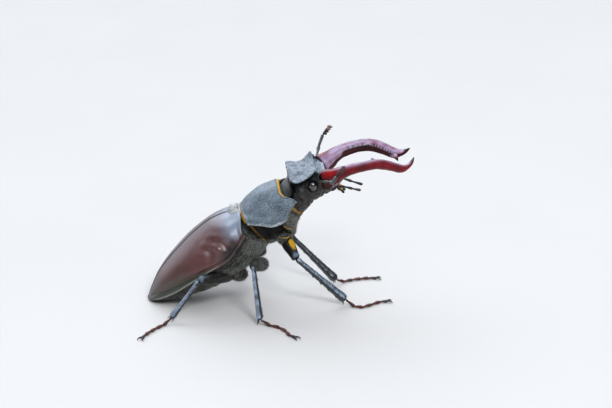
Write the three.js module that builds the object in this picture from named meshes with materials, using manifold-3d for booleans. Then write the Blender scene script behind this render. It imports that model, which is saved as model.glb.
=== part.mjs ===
// A male European stag beetle (Lucanus cervus), life size, as a still museum model.
// It rears on its six legs with its head and jaws raised. Millimetres, +X ahead, +Y to the
// beetle's left, +Z up. The floor is z = 0 and the six feet stand on it.

import * as THREE from "three";
import { ParametricGeometry } from "three/addons/geometries/ParametricGeometry.js";
import { mergeVertices } from "three/addons/utils/BufferGeometryUtils.js";
import Module from "manifold-3d";

const wasm = await Module();
wasm.setup();

// ---------------------------------------------------------------- driving dimensions

const GAP = 0.2; // between body pieces that meet
const FINE_GAP = 0.12; // between the small pieces of legs, feelers and mouth
const SHELL = 0.7; // thickness of the wing cases and the collar plate
const CURVE_SEGMENTS = 5; // of the curved edges of small flat plates
const SIDES = { left: 1, right: -1 };

// The three body sections lie on the midline, each pitched nose up by its own angle.
const TAIL_HEIGHT = 0.6; // of the wing cases' tip above the floor
const HIND_BODY = { x: 0, z: TAIL_HEIGHT, pitch: 43.9 };
const PROTHORAX = { x: 22.69, z: 22.81, pitch: 34.4 };
const HEAD = { x: 33.57, z: 25.44, pitch: 18 };

// Wing cases: x from the tip forward, y out, z up from the tip.
const WING_CASE = {
  length: 31.5,
  widest: 9.5,
  sweep: 2.3, // how far the shoulder lies behind the middle of the front edge
  sweepFrom: 20, // where along the case the sweep begins
  roundness: 0.92, // 1 is an ellipse across, less is squarer
  stations: 13,
  crowding: 1.25, // more than 1 crowds the stations toward the tip
};
const caseHalfWidth = profile([
  [0, 0.2],
  [0.45, 1.9],
  [2.7, 4.1],
  [6.3, 6.3],
  [10.4, 8.0],
  [14.6, 9.1],
  [20, WING_CASE.widest],
  [28, 9.1],
  [WING_CASE.length, 8.2],
]);
const caseCrest = profile([
  [0, -0.3],
  [2.6, 0.9],
  [6.7, 2.54],
  [11.5, 3.43],
  [18, 3.9],
  [24, 3.4],
  [27.2, 2.6],
  [29.4, 1.8],
  [WING_CASE.length, 0.9],
]);
const caseMargin = profile([
  [0, -0.35],
  [3.6, -1.4],
  [7.8, -2.15],
  [12.2, -2.5],
  [16.6, -3.1],
  [22.8, -4.3],
  [29.3, -3.6],
  [WING_CASE.length, -3.1],
]);
const bellyLine = profile([
  [1, -1.4],
  [3, -2.9],
  [6, -4.9],
  [10, -7.1],
  [15, -9.2],
  [20, -10.6],
  [26, -10.9],
  [31.5, -10.4],
]);
const ABDOMEN = { from: 0.95, to: 17.3, stations: 9 };
const PTEROTHORAX = { from: 17.6, to: 31, stations: 8 };
// The trunk's clearance inside the cases, and how it narrows and sweeps back at the shoulders.
const TRUNK = {
  clear: 0.3,
  marginDrop: 0.15,
  leastHalfWidth: 0.5,
  leastRise: 0.15,
  taper: 0.22,
  taperFrom: 28,
  sweep: 2.2,
  sweepFrom: 24,
};
const SCUTELLUM = { length: 3.7, halfWidth: 2.1, thick: 1.1, tilt: 25, overlap: 0.1, height: 1.1 };

// Prothorax: f ahead from the hind edge, lateral, d up. Across, each plate is half an ellipse.
const COLLAR = {
  length: 10.8,
  frontHollow: 1.3, // how far the front edge's middle lies behind an even edge
  frontCorner: 3.0, // how far its two corners jut
  hindCurve: 0.2,
  stations: 8,
};
const STERNUM = {
  from: 0.5,
  to: 10.2,
  hindSlope: 1.6, // how far the underside's hind end lies ahead of its upper part
  frontSlope: 1.2,
  stations: 9,
};
const collarHalfWidth = profile([
  [0, 6.2],
  [0.2, 7.4],
  [0.45, 8.0],
  [0.75, 7.8],
  [1, 7.0],
]);
const collarCrest = profile([
  [0, 0],
  [0.25, 1.0],
  [0.55, 1.4],
  [1, 0.24],
]);
const collarDrop = profile([
  [0, 2.2],
  [0.2, 5.0],
  [0.42, 7.3],
  [0.6, 7.65],
  [0.8, 6.1],
  [1, 4.14],
]);
const sternumDepth = profile([
  [0, 9.2],
  [0.3, 7.6],
  [0.6, 6.5],
  [0.8, 5.9],
  [1, 5.6],
]);

// Head: f ahead from the neck, lateral, d up.
const headHalfWidth = profile([
  [-2, 5.4],
  [0.8, 6.3],
  [2.2, 6.9],
  [3.9, 8.0],
  [5.8, 7.55],
  [9.1, 7.3],
  [9.9, 6.2],
  [10.8, 4.4],
]);
const headTopMiddle = profile([
  [-2, 1.6],
  [0.9, 3.0],
  [1.7, 3.5],
  [2.4, 6.0],
  [3.3, 5.85],
  [5, 5.25],
  [7, 4.95],
  [8.4, 4.8],
  [9.4, 4.2],
  [10.8, 3.1],
]);
const headTopSide = profile([
  [-2, 0.4],
  [0.9, 1.7],
  [1.7, 2.2],
  [2.4, 5.4],
  [3.6, 5.0],
  [4.9, 4.8],
  [6.4, 5.0],
  [8.6, 6.0],
  [9.4, 4.8],
  [10.8, 3.4],
]);
const headUnder = profile([
  [-2, -4.6],
  [1.5, -4.8],
  [4, -3.7],
  [6.3, -2.2],
  [9, -1.7],
  [10.8, -1.0],
]);
// How square the head is across: 1 is an ellipse, less is squarer. The neck is round and the
// brow plate has a sharp edge along each side.
const browSquareness = profile([
  [0.8, 0.85],
  [2.4, 0.36],
  [9, 0.3],
  [10.8, 0.5],
]);
const HEAD_STATIONS = [-2, -0.4, 1, 1.7, 2.4, 3.4, 4.8, 6.4, 7.8, 8.8, 9.4, 10.1, 10.8];
const HEAD_FORM = {
  underSquareness: 0.75,
  underTuck: 0.25, // how much narrower the head is at its lowest
  waist: 0.45, // how high the widest level lies between the underside and the top
};
const EYE = { at: [6.9, 6.75, 2.5], radii: [1.12, 1.08, 1.22] };

// Left jaw, from its hinge to its outer tip: where its middle runs and its half sizes.
const JAW = {
  path: [
    [9.8, 4.9, 2.3],
    [12.2, 5.7, 2.65],
    [14.0, 6.3, 3.2],
    [16.0, 7.0, 3.5],
    [20.7, 7.45, 3.2],
    [23.5, 7.0, 2.35],
    [25.9, 6.4, 0.7],
    [27.7, 5.8, -0.75],
    [29.0, 5.3, -1.05],
    [30.3, 4.6, -0.8],
    [31.5, 3.4, 0.0],
  ],
  halfWidth: [2.1, 2.0, 1.75, 1.5, 1.35, 1.3, 1.25, 1.15, 0.85, 0.6, 0.26],
  halfHeight: [2.7, 2.3, 1.75, 1.45, 1.3, 1.3, 1.15, 1.05, 0.75, 0.55, 0.26],
  lean: 0.3, // the upper face falls inward by this much for each half width
  prong: {
    path: [
      [27.4, 5.2, -0.8],
      [27.8, 3.6, -1.1],
      [27.8, 2.0, -1.5],
    ],
    halfWidth: [1.0, 0.7, 0.26],
  },
  middleTooth: { at: 0.46, length: 1.7, radius: 0.6 },
  denticles: { from: 0.33, to: 0.62, count: 7, length: 0.7, radius: 0.32 },
  toothSeat: 0.82, // how far out on the jaw's inner side a tooth stands
};

// The lip plates at the front of the mouth, upper and lower: a flat outline with a bowed front.
const CLYPEUS = { back: 2.3, front: 1.5, reach: 1.6, bow: 2.9, thick: 1.1, tilt: 30, at: [10.9, 0, 0.9] };
const LABIUM = { back: 3.1, front: 2.3, reach: 2.0, bow: 2.9, thick: 1.0, tilt: 4, at: [9.4, 0, -1.9] };

// Feelers: a long shaft, a short chain of beads and a club of four leaves.
const FEELERS = {
  left: {
    root: [8.6, 6.6, 3.0],
    elbow: [11.0, 11.8, 4.9],
    club: [12.9, 12.9, 7.1],
    tip: [15.1, 13.9, 8.4],
  },
  right: {
    root: [8.6, -6.6, 3.0],
    elbow: [11.6, -11.3, 3.3],
    club: [12.9, -11.9, 4.6],
    tip: [15.0, -12.7, 6.2],
  },
};
const SHAFT_SIZES = [0.3, 0.3, 0.42];
const BEADS = { count: 5, neck: 0.25, swell: 0.34 };
const CLUB = {
  stalk: [0.3, 0.34, 0.26],
  leaves: 4,
  firstLeaf: 0.75, // the first leaf's place, counted in leaf steps from the club's foot
  reach: 1.15,
  leafWidth: [0.26, 0.3, 0.26],
  leafHeight: [0.3, 0.45, 0.34],
};

// Palps: two jointed threads on each side of the mouth. The left ones reach a little further.
const PALPS = {
  maxillary: [
    [11.9, 2.9, -0.8],
    [13.9, 3.1, -1.6],
    [15.5, 3.2, -2.6],
    [17.3, 3.2, -3.7],
  ],
  labial: [
    [12.0, 1.3, -1.7],
    [12.7, 1.4, -2.5],
    [13.4, 1.5, -3.6],
  ],
};
const LEFT_PALP_REACH = { ahead: 0.9, down: 1.17 };
const PALP_SIZES = { neck: 0.25, swell: 0.32 };

// ---------------------------------------------------------------- making of shapes

// A smooth curve through the knots [x, y] that never swings past them.
function profile(knots) {
  const slope = (i) => (knots[i + 1][1] - knots[i][1]) / (knots[i + 1][0] - knots[i][0]);
  const tangent = (i) => {
    if (i === 0) return slope(0);
    if (i === knots.length - 1) return slope(i - 1);
    const [before, after] = [slope(i - 1), slope(i)];
    return before * after <= 0 ? 0 : (2 * before * after) / (before + after);
  };
  return (x) => {
    let i = 0;
    while (i < knots.length - 2 && x > knots[i + 1][0]) i++;
    const [[x0, y0], [x1, y1]] = [knots[i], knots[i + 1]];
    const width = x1 - x0;
    const s = Math.min(1, Math.max(0, (x - x0) / width));
    const bend = (1 - s) * tangent(i) - s * tangent(i + 1);
    return y0 + (y1 - y0) * s * s * (3 - 2 * s) + width * s * (1 - s) * bend;
  };
}

const point = (x, y, z) => new THREE.Vector3(x, y, z);
const radians = THREE.MathUtils.degToRad;
const smooth = THREE.MathUtils.smoothstep;
const count = (n) => [...Array(n).keys()];
const steps = (from, to, n) => count(n + 1).map((i) => from + ((to - from) * i) / n);
const round = (n) => count(n).map((i) => (2 * Math.PI * i) / n);
// cos or sin raised to a power with its sign kept: the corner shape of a rounded box
const powered = (value, power) => Math.sign(value) * Math.abs(value) ** power;

// The middle of a ring, once for each of its points: a plain end for a loft.
function middle(ring) {
  const centre = point(0, 0, 0);
  ring.forEach((p) => centre.add(p));
  centre.divideScalar(ring.length);
  return ring.map(() => centre);
}

// For a ring that runs along a shell's outside and back along its inside: the end is closed
// by a strip to the line half way through the shell.
function midline(ring) {
  return ring.map((p, i) => p.clone().lerp(ring[ring.length - 1 - i], 0.5));
}

// A closed skin over rings of equal length. Each ring turns from +Y over +Z, and the rings
// follow each other along +X.
function loft(rings, end = middle) {
  const rows = [end(rings[0]), ...rings, end(rings.at(-1))];
  const around = rings[0].length;
  return new ParametricGeometry(
    (u, v, target) => {
      const row = rows[Math.round(v * (rows.length - 1))];
      target.copy(row[Math.round(u * around) % around]);
    },
    around,
    rows.length - 1,
  );
}

// The rings of the left side's piece, turned into those of the right side's.
function onSide(side, rings) {
  if (side > 0) return rings;
  return rings.map((ring) => ring.map((p) => point(p.x, -p.y, p.z)).reverse());
}

const BLUNT = 0.13; // how blunt a dome's last ring is: 0 is a point

// A limb: an oval carried along a smooth path, with its half sizes given at the path's points
// and both ends domed. lean shears the oval's upper part outward, and phase turns the ring's
// first corner from the side.
function limbRings(shape) {
  const { path, halfWidth, halfHeight = halfWidth, rings, around } = shape;
  const { lean = 0, grow = 0, dome = 0.3, phase = 0 } = shape;
  const curve = new THREE.CatmullRomCurve3(path.map((p) => point(...p)), false, "centripetal");
  const last = path.length - 1;
  const across = profile(halfWidth.map((size, i) => [i / last, size]));
  const height = profile(halfHeight.map((size, i) => [i / last, size]));
  const upward = point(0, 0, 1);
  const length = curve.getLength();
  return steps(0, 1, rings).map((t) => {
    const ahead = curve.getTangent(t);
    const side = upward.clone().cross(ahead).normalize();
    const above = ahead.clone().cross(side);
    const fromEnd = (Math.min(t, 1 - t) * length) / (dome * (across(t) + height(t)));
    const rounding = Math.sqrt(1 - (1 - Math.min(1, fromEnd + BLUNT)) ** 2);
    const overrun = (t === 0 ? -1 : t === 1 ? 1 : 0) * grow;
    const centre = curve.getPoint(t).addScaledVector(ahead, overrun);
    return round(around).map((turn) => {
      const phi = turn + phase;
      const rise = (height(t) * rounding + grow) * Math.sin(phi);
      const out = (across(t) * rounding + grow) * Math.cos(phi) + lean * across(t) * Math.sin(phi);
      return centre.clone().addScaledVector(side, out).addScaledVector(above, rise);
    });
  });
}
const limb = (shape) => loft(limbRings(shape));

// A flat plate: an outline in X and Y, thick along Z.
function plate(outline, depth) {
  return new THREE.ExtrudeGeometry(outline, { depth, bevelEnabled: false, curveSegments: CURVE_SEGMENTS });
}

// A tooth or spine: a cone whose foot stands at a point and whose tip leans along a direction.
function spine(at, direction, length, radius, sides = 4) {
  const turn = new THREE.Quaternion().setFromUnitVectors(point(0, 1, 0), direction.clone().normalize());
  return new THREE.ConeGeometry(radius, length, sides)
    .translate(0, length / 2, 0)
    .applyQuaternion(turn)
    .translate(at.x, at.y, at.z);
}

// A geometry as a solid that can be joined and cut, and a solid as a geometry again.
function solid(geometry) {
  const bare = geometry.clone();
  bare.deleteAttribute("normal");
  bare.deleteAttribute("uv");
  const merged = mergeVertices(bare, 1e-4);
  const corners = merged.index.array;
  const faces = count(corners.length / 3)
    .map((i) => [...corners.slice(3 * i, 3 * i + 3)])
    .filter(([a, b, c]) => a !== b && b !== c && c !== a);
  return new wasm.Manifold(
    new wasm.Mesh({
      numProp: 3,
      vertProperties: new Float32Array(merged.attributes.position.array),
      triVerts: new Uint32Array(faces.flat()),
    }),
  );
}
function skin(made) {
  const mesh = made.getMesh();
  const geometry = new THREE.BufferGeometry();
  geometry.setAttribute("position", new THREE.BufferAttribute(mesh.vertProperties, 3));
  geometry.setIndex(new THREE.BufferAttribute(mesh.triVerts, 1));
  geometry.computeVertexNormals();
  return geometry;
}
const joined = (...geometries) => geometries.map(solid).reduce((whole, next) => whole.add(next));
const cutBy = (whole, ...cutters) => cutters.reduce((left, cutter) => left.subtract(solid(cutter)), whole);

// A body section's group: it stands on the midline and is pitched nose up.
function section({ x, z, pitch }) {
  const group = new THREE.Group();
  group.position.set(x, 0, z);
  group.rotation.y = -radians(pitch);
  group.updateMatrix();
  return group;
}
// A geometry of one section, written in another section's frame.
function moved(geometry, from, to) {
  const matrix = to.matrix.clone().invert().multiply(from.matrix);
  return geometry.clone().applyMatrix4(matrix);
}

// ---------------------------------------------------------------- materials

const finish = (color, roughness, metalness = 0) =>
  new THREE.MeshStandardMaterial({ color, roughness, metalness });
const FINISHES = {
  wingCase: finish(0x3d1512, 0.22),
  collar: finish(0x23262b, 0.5),
  underside: finish(0x2a2620, 0.6),
  head: finish(0x3a4147, 0.45),
  eye: finish(0x050506, 0.08),
  jaw: finish(0x4a0d12, 0.18),
  mouth: finish(0x241813, 0.5),
  feeler: finish(0x141214, 0.35),
  feelerClub: finish(0x4b4038, 0.7),
  leg: finish(0x12161d, 0.3),
  foot: finish(0x22120d, 0.4),
};

const model = new THREE.Group();
const hindBody = section(HIND_BODY);
const prothorax = section(PROTHORAX);
const head = section(HEAD);
const legs = new THREE.Group();
model.add(hindBody, prothorax, head, legs);

function addPiece(parent, name, made, material) {
  const mesh = new THREE.Mesh(skin(made), material);
  mesh.name = name;
  parent.add(mesh);
}

// ---------------------------------------------------------------- hind body

// The scutellum: a small three-cornered shield that lies between the wing cases' fronts.
function scutellumGeometry(grow) {
  const { length, halfWidth, thick, tilt, overlap, height } = SCUTELLUM;
  const front = length / 2 + grow;
  const wide = halfWidth + grow;
  const outline = new THREE.Shape();
  const bulge = wide * 0.85;
  const tip = -length / 2 - 2 * grow;
  outline.moveTo(tip, 0);
  outline.quadraticCurveTo(0, -bulge, front, -wide);
  outline.lineTo(front, wide);
  outline.quadraticCurveTo(0, bulge, tip, 0);
  return plate(outline, thick + 2 * grow)
    .translate(0, 0, -thick - grow)
    .rotateY(radians(tilt))
    .translate(WING_CASE.length - length / 2 + overlap, 0, height);
}

const LEAST_HOLLOW = 0.3; // of a case's own size, where it is thinner than its shell

// One ring of a wing case: half an ellipse from the side margin up to the middle line, and
// back along its inside. The shoulder is swept back behind the middle of the front edge.
function wingCaseRing(x) {
  const halfWidth = caseHalfWidth(x);
  const margin = caseMargin(x);
  const rise = caseCrest(x) - margin;
  const inside = (size) => Math.max(size - SHELL, size * LEAST_HOLLOW);
  const line = (w, h) =>
    steps(0, Math.PI / 2, 6).map((turn) => {
      const out = powered(Math.cos(turn), WING_CASE.roundness);
      const up = powered(Math.sin(turn), WING_CASE.roundness);
      const swept = WING_CASE.sweep * out ** 3 * smooth(x, WING_CASE.sweepFrom, WING_CASE.length);
      return point(x - swept, GAP / 2 + (w - GAP / 2) * out, margin + h * up);
    });
  return [...line(halfWidth, rise), ...line(inside(halfWidth), inside(rise)).reverse()];
}
const caseStations = steps(0, 1, WING_CASE.stations).map(
  (t) => WING_CASE.length * t ** WING_CASE.crowding,
);

for (const [name, side] of Object.entries(SIDES)) {
  const whole = solid(loft(onSide(side, caseStations.map(wingCaseRing)), midline));
  const notched = cutBy(whole, scutellumGeometry(FINE_GAP));
  addPiece(hindBody, `elytron_${name}`, notched, FINISHES.wingCase);
}
addPiece(hindBody, "scutellum", solid(scutellumGeometry(0)), FINISHES.collar);

// The body under the wing cases: half an ellipse above the margin's level and half below it.
function trunkGeometry({ from, to, stations }, grow = 0) {
  const clear = SHELL + TRUNK.clear - grow;
  const rings = steps(from, to, stations).map((x) => {
    const halfWidth = Math.max(TRUNK.leastHalfWidth, caseHalfWidth(x) - clear);
    const margin = caseMargin(x) - TRUNK.marginDrop;
    const rise = Math.max(TRUNK.leastRise, caseCrest(x) - margin - clear);
    const depth = margin - bellyLine(x) + grow;
    const taper = 1 - TRUNK.taper * smooth(x, TRUNK.taperFrom, WING_CASE.length);
    const sweep = TRUNK.sweep * smooth(x, TRUNK.sweepFrom, WING_CASE.length);
    return round(16).map((turn) => {
      const high = Math.sin(turn);
      const out = halfWidth * taper * powered(Math.cos(turn), 0.9);
      const up = high > 0 ? rise * high : depth * powered(high, 0.85);
      const swept = sweep * Math.abs(Math.cos(turn)) ** 3;
      return point(x - swept, out, margin + up);
    });
  });
  return loft(rings);
}

// ---------------------------------------------------------------- prothorax

// The front edge of the collar plate is hollow in the middle and juts at its two corners.
function collarFront(turn) {
  const out = Math.sin(turn);
  return COLLAR.length - COLLAR.frontHollow * out ** 2 + COLLAR.frontCorner * out ** 8;
}
const collarHind = (turn) => COLLAR.hindCurve * Math.sin(turn) ** 2;

function collarLine(s, thinner) {
  const halfWidth = collarHalfWidth(s) - thinner;
  const drop = collarDrop(s) - thinner;
  return steps(Math.PI / 2, -Math.PI / 2, 12).map((turn) => {
    const ahead = THREE.MathUtils.lerp(collarHind(turn), collarFront(turn), s);
    const up = collarCrest(s) - thinner - drop * (1 - Math.cos(turn));
    return point(ahead, halfWidth * Math.sin(turn), up);
  });
}
const collarStations = steps(0, 1, COLLAR.stations);
const collarRings = collarStations.map((s) => [...collarLine(s, 0), ...collarLine(s, SHELL).reverse()]);
addPiece(prothorax, "pronotum", solid(loft(collarRings, midline)), FINISHES.collar);

// The underside of the prothorax, which fills the collar plate and carries the front legs.
function sternumGeometry(grow = 0) {
  const clear = SHELL + GAP - grow;
  const rings = steps(0, 1, STERNUM.stations).map((s) => {
    const halfWidth = collarHalfWidth(s) - clear;
    const level = collarCrest(s) - collarDrop(s);
    const rise = collarDrop(s) - clear;
    const depth = sternumDepth(s) + grow;
    return round(16).map((turn) => {
      const high = Math.sin(turn);
      const low = Math.max(0, -high);
      const up = high > 0 ? rise * high : depth * powered(high, 0.85);
      const hind = STERNUM.from - grow + low * STERNUM.hindSlope;
      const front = STERNUM.to + grow + low * STERNUM.frontSlope;
      const ahead = THREE.MathUtils.lerp(hind, front, s);
      return point(ahead, halfWidth * Math.cos(turn), level + up);
    });
  });
  return loft(rings);
}
addPiece(prothorax, "prosternum", solid(sternumGeometry()), FINISHES.underside);

const sternumGrown = sternumGeometry(GAP);
const collarFilled = loft(
  collarStations.map((s) => collarLine(s, -GAP).map((p) => p.setX(p.x - GAP + 2 * GAP * s))),
);

addPiece(hindBody, "abdomen", solid(trunkGeometry(ABDOMEN)), FINISHES.underside);
addPiece(
  hindBody,
  "pterothorax",
  cutBy(
    solid(trunkGeometry(PTEROTHORAX)),
    moved(sternumGrown, prothorax, hindBody),
    scutellumGeometry(FINE_GAP),
  ),
  FINISHES.underside,
);

// ---------------------------------------------------------------- head

function headGeometry(grow = 0) {
  const rings = HEAD_STATIONS.map((f) => {
    const halfWidth = headHalfWidth(f) + grow;
    const under = headUnder(f) - grow;
    const level = THREE.MathUtils.lerp(under, headTopMiddle(f), HEAD_FORM.waist);
    return round(20).map((turn) => {
      const square = Math.sin(turn) > 0 ? browSquareness(f) : HEAD_FORM.underSquareness;
      const out = powered(Math.cos(turn), square);
      const high = powered(Math.sin(turn), square);
      const top = THREE.MathUtils.lerp(headTopMiddle(f), headTopSide(f), out ** 2) + grow;
      const tuck = high < 0 ? 1 - HEAD_FORM.underTuck * high ** 2 : 1;
      const up = high > 0 ? (top - level) * high : (level - under) * high;
      return point(f, halfWidth * out * tuck, level + up);
    });
  });
  return loft(rings);
}
const headGrown = headGeometry(FINE_GAP);

function eyeGeometry(side, grow = 0) {
  const [rx, ry, rz] = EYE.radii;
  const [x, y, z] = EYE.at;
  return new THREE.SphereGeometry(1, 9, 6)
    .rotateX(Math.PI / 2)
    .scale(rx + grow, ry + grow, rz + grow)
    .translate(x, side * y, z);
}

const JAW_DOME = 0.15;
const jawShape = { ...JAW, rings: 14, around: 8, dome: JAW_DOME };
const prongShape = { ...JAW.prong, rings: 4, around: 6, dome: JAW_DOME };

function jawGeometry(side, grow = 0) {
  return loft(onSide(side, limbRings({ ...jawShape, grow })));
}

// The jaw's teeth stand along its upper inner edge and point inward and a little up.
function jawTeeth(side) {
  const curve = new THREE.CatmullRomCurve3(JAW.path.map((p) => point(...p)), false, "centripetal");
  const last = JAW.path.length - 1;
  const across = profile(JAW.halfWidth.map((size, i) => [i / last, size]));
  const tooth = (t, length, radius) => {
    const at = curve.getPoint(t);
    const inward = point(0.05, -1, 0.25).normalize();
    at.addScaledVector(inward, across(t) * JAW.toothSeat);
    at.y *= side;
    inward.y *= side;
    return spine(at, inward, length, radius);
  };
  const { middleTooth, denticles } = JAW;
  const small = steps(denticles.from, denticles.to, denticles.count - 1).map((t) =>
    tooth(t, denticles.length, denticles.radius),
  );
  return [tooth(middleTooth.at, middleTooth.length, middleTooth.radius), ...small];
}

function lipGeometry({ back, front, reach, bow, thick, tilt, at }, grow = 0) {
  const outline = new THREE.Shape();
  outline.moveTo(-grow, -back - grow);
  outline.lineTo(reach, -front - grow);
  outline.quadraticCurveTo(bow + 2 * grow, 0, reach, front + grow);
  outline.lineTo(-grow, back + grow);
  return plate(outline, thick + 2 * grow)
    .translate(0, 0, -grow)
    .rotateY(radians(tilt))
    .translate(...at);
}

const headSolid = cutBy(
  solid(headGeometry()),
  moved(sternumGrown, prothorax, head),
  moved(collarFilled, prothorax, head),
  eyeGeometry(SIDES.left, FINE_GAP),
  eyeGeometry(SIDES.right, FINE_GAP),
);
addPiece(head, "head", headSolid, FINISHES.head);

for (const [name, side] of Object.entries(SIDES)) {
  addPiece(head, `eye_${name}`, solid(eyeGeometry(side)), FINISHES.eye);
  const prong = loft(onSide(side, limbRings(prongShape)));
  const jaw = joined(jawGeometry(side), prong, ...jawTeeth(side));
  addPiece(head, `mandible_${name}`, cutBy(jaw, headGrown), FINISHES.jaw);
}
const jawsGrown = Object.values(SIDES).map((side) => jawGeometry(side, FINE_GAP));
addPiece(head, "clypeus", cutBy(solid(lipGeometry(CLYPEUS)), headGrown, ...jawsGrown), FINISHES.head);
addPiece(head, "labium", cutBy(solid(lipGeometry(LABIUM)), headGrown, ...jawsGrown), FINISHES.mouth);
const mouthParts = [headGrown, ...jawsGrown, lipGeometry(LABIUM, FINE_GAP)];

for (const [name, { root, elbow, club, tip }] of Object.entries(FEELERS)) {
  const [from, bend, start, end] = [root, elbow, club, tip].map((p) => point(...p));
  const between = (a, b, t) => a.clone().lerp(b, t).toArray();
  const shaft = {
    path: [root, between(from, bend, 0.5), elbow],
    halfWidth: SHAFT_SIZES,
    rings: 4,
    around: 6,
  };
  addPiece(head, `antenna_${name}_scape`, cutBy(solid(limb(shaft)), headGrown), FINISHES.feeler);

  const knots = 2 * BEADS.count;
  const chain = {
    path: steps(0, 1, knots).map((t) => between(bend, start, t)),
    halfWidth: count(knots + 1).map((i) => (i % 2 ? BEADS.swell : BEADS.neck)),
    rings: knots,
    around: 5,
  };
  const chainSolid = cutBy(solid(limb(chain)), limb({ ...shaft, grow: FINE_GAP }));
  addPiece(head, `antenna_${name}_funicle`, chainSolid, FINISHES.feeler);

  // The club's leaves stand off its stalk to one side, like a small comb.
  const along = end.clone().sub(start);
  const leafWay = point(0, 0, 1).cross(along).normalize().multiplyScalar(name === "left" ? -1 : 1);
  const stalk = limb({
    path: [club, between(start, end, 0.5), tip],
    halfWidth: CLUB.stalk,
    rings: 3,
    around: 5,
  });
  const leaves = count(CLUB.leaves).map((i) => {
    const foot = start.clone().addScaledVector(along, (i + CLUB.firstLeaf) / CLUB.leaves);
    const leafTip = foot.clone().addScaledVector(leafWay, CLUB.reach);
    return limb({
      path: [foot.toArray(), between(foot, leafTip, 0.5), leafTip.toArray()],
      halfWidth: CLUB.leafWidth,
      halfHeight: CLUB.leafHeight,
      rings: 2,
      around: 4,
    });
  });
  const clubSolid = cutBy(joined(stalk, ...leaves), limb({ ...chain, grow: FINE_GAP }));
  addPiece(head, `antenna_${name}_club`, clubSolid, FINISHES.feelerClub);
}

for (const [name, side] of Object.entries(SIDES)) {
  const reach = side > 0 ? LEFT_PALP_REACH : { ahead: 0, down: 0 };
  for (const [palp, route] of Object.entries(PALPS)) {
    const path = route.map(([x, y, z], i) => {
      const far = Math.max(0, i - 1) / 2;
      return [x + far * reach.ahead, side * y, z - far * reach.down];
    });
    const halfWidth = route.map((_, i) => (i % 2 ? PALP_SIZES.swell : PALP_SIZES.neck));
    const thread = solid(limb({ path, halfWidth, rings: 5, around: 5 }));
    addPiece(head, `${palp}_palp_${name}`, cutBy(thread, ...mouthParts), FINISHES.mouth);
  }
}

// ---------------------------------------------------------------- legs

// Each leg by its joints: the hip in the body, the knee, the ankle and the foot's way from
// the ankle over the floor. Foot points are x and y on the floor.
const LEGS = {
  front_right: {
    hip: [32.8, -3.4, 16.4],
    knee: [35.4, -9.0, 12.7],
    ankle: [47.2, -7.4, 1.15],
    foot: [[49.1, -9.6], [51.0, -10.2], [53.2, -8.9], [55.4, -7.4]],
    claws: [57.3, -7.2],
  },
  front_left: {
    hip: [32.6, 3.4, 16.4],
    knee: [35.2, 8.8, 12.0],
    ankle: [46.3, 5.0, 1.15],
    foot: [[48.3, 5.9], [50.4, 6.9], [52.6, 7.4], [54.6, 7.6]],
    claws: [56.5, 7.4],
  },
  middle_right: {
    hip: [27.3, -4.6, 9.9],
    knee: [25.0, -13.0, 13.0],
    ankle: [26.2, -17.4, 1.1],
    foot: [[28.4, -18.9], [30.4, -20.2], [31.8, -22.4], [32.4, -24.6]],
    claws: [33.6, -26.0],
  },
  middle_left: {
    hip: [27.3, 4.6, 9.9],
    knee: [23.4, 12.4, 12.8],
    ankle: [21.0, 15.0, 1.1],
    foot: [[20.6, 17.4], [20.6, 19.6], [21.2, 21.8], [21.9, 23.7]],
    claws: [22.3, 25.4],
  },
  hind_right: {
    hip: [22.0, -4.6, 7.6],
    knee: [12.4, -11.2, 8.9],
    ankle: [5.6, -14.7, 1.1],
    foot: [[3.9, -16.4], [2.3, -18.0], [0.9, -19.8], [-0.3, -21.5]],
    claws: [-1.1, -23.2],
  },
  hind_left: {
    hip: [22.0, 4.6, 7.6],
    knee: [12.8, 11.4, 8.6],
    ankle: [7.6, 13.9, 1.1],
    foot: [[6.9, 16.0], [6.4, 18.0], [6.3, 20.2], [6.6, 22.1]],
    claws: [6.9, 23.8],
  },
};
// Half sizes from hip to ankle for each pair of legs, and the teeth on the shin's outer edge.
const LEG_SIZES = {
  front: {
    coxa: [1.8, 2.8, 1.9],
    femur: [1.5, 1.6, 1.3, 1.0],
    tibia: [0.75, 0.8, 0.95, 1.05],
    teeth: 5,
  },
  middle: {
    coxa: [1.7, 2.0, 1.6],
    femur: [1.1, 1.5, 1.45, 1.0],
    tibia: [0.65, 0.65, 0.75, 0.85],
    teeth: 3,
  },
  hind: {
    coxa: [2.0, 2.8, 1.5],
    femur: [1.1, 1.5, 1.4, 0.95],
    tibia: [0.62, 0.62, 0.7, 0.8],
    teeth: 3,
  },
};
const SHIN_TOOTH = {
  length: 1.7,
  radius: 0.34,
  from: 0.35, // along the shin
  to: 0.95,
  along: 0.9, // the parts of its direction
  outward: 0.75,
  upward: 0.25,
};
const TOE = {
  height: 0.27, // of the foot's middle line over the floor
  swell: 0.45,
  neck: 0.34,
  swellAt: 0.8, // along each joint
  around: 5,
  phase: Math.PI / 10, // so that a side of the foot's five lies underneath, as its sole
};
const CLAW = {
  root: -0.25, // ahead of the last joint's end
  length: 1.15,
  spread: 0.42,
  arch: 0.2, // the rise of its middle over the foot's middle line
  tipHeight: 0.16,
  sizes: [0.3, 0.3, 0.25],
};
const THIGH_PLACES = [0.12, 0.4, 0.7, 1]; // along the way from hip to knee
const SHIN_PLACES = [0, 0.33, 0.7, 1]; // along the way from knee to ankle

// Nothing of a foot is below the floor: what would be is pressed into a flat at z = 0.
function flattened(rings) {
  return rings.map((ring) => ring.map((p) => p.setZ(Math.max(0, p.z))));
}

const legRoot = section({ x: 0, z: 0, pitch: 0 });
const trunkCutters = [
  moved(trunkGeometry(PTEROTHORAX, GAP), hindBody, legRoot),
  moved(trunkGeometry(ABDOMEN, GAP), hindBody, legRoot),
  moved(sternumGrown, prothorax, legRoot),
];

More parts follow.
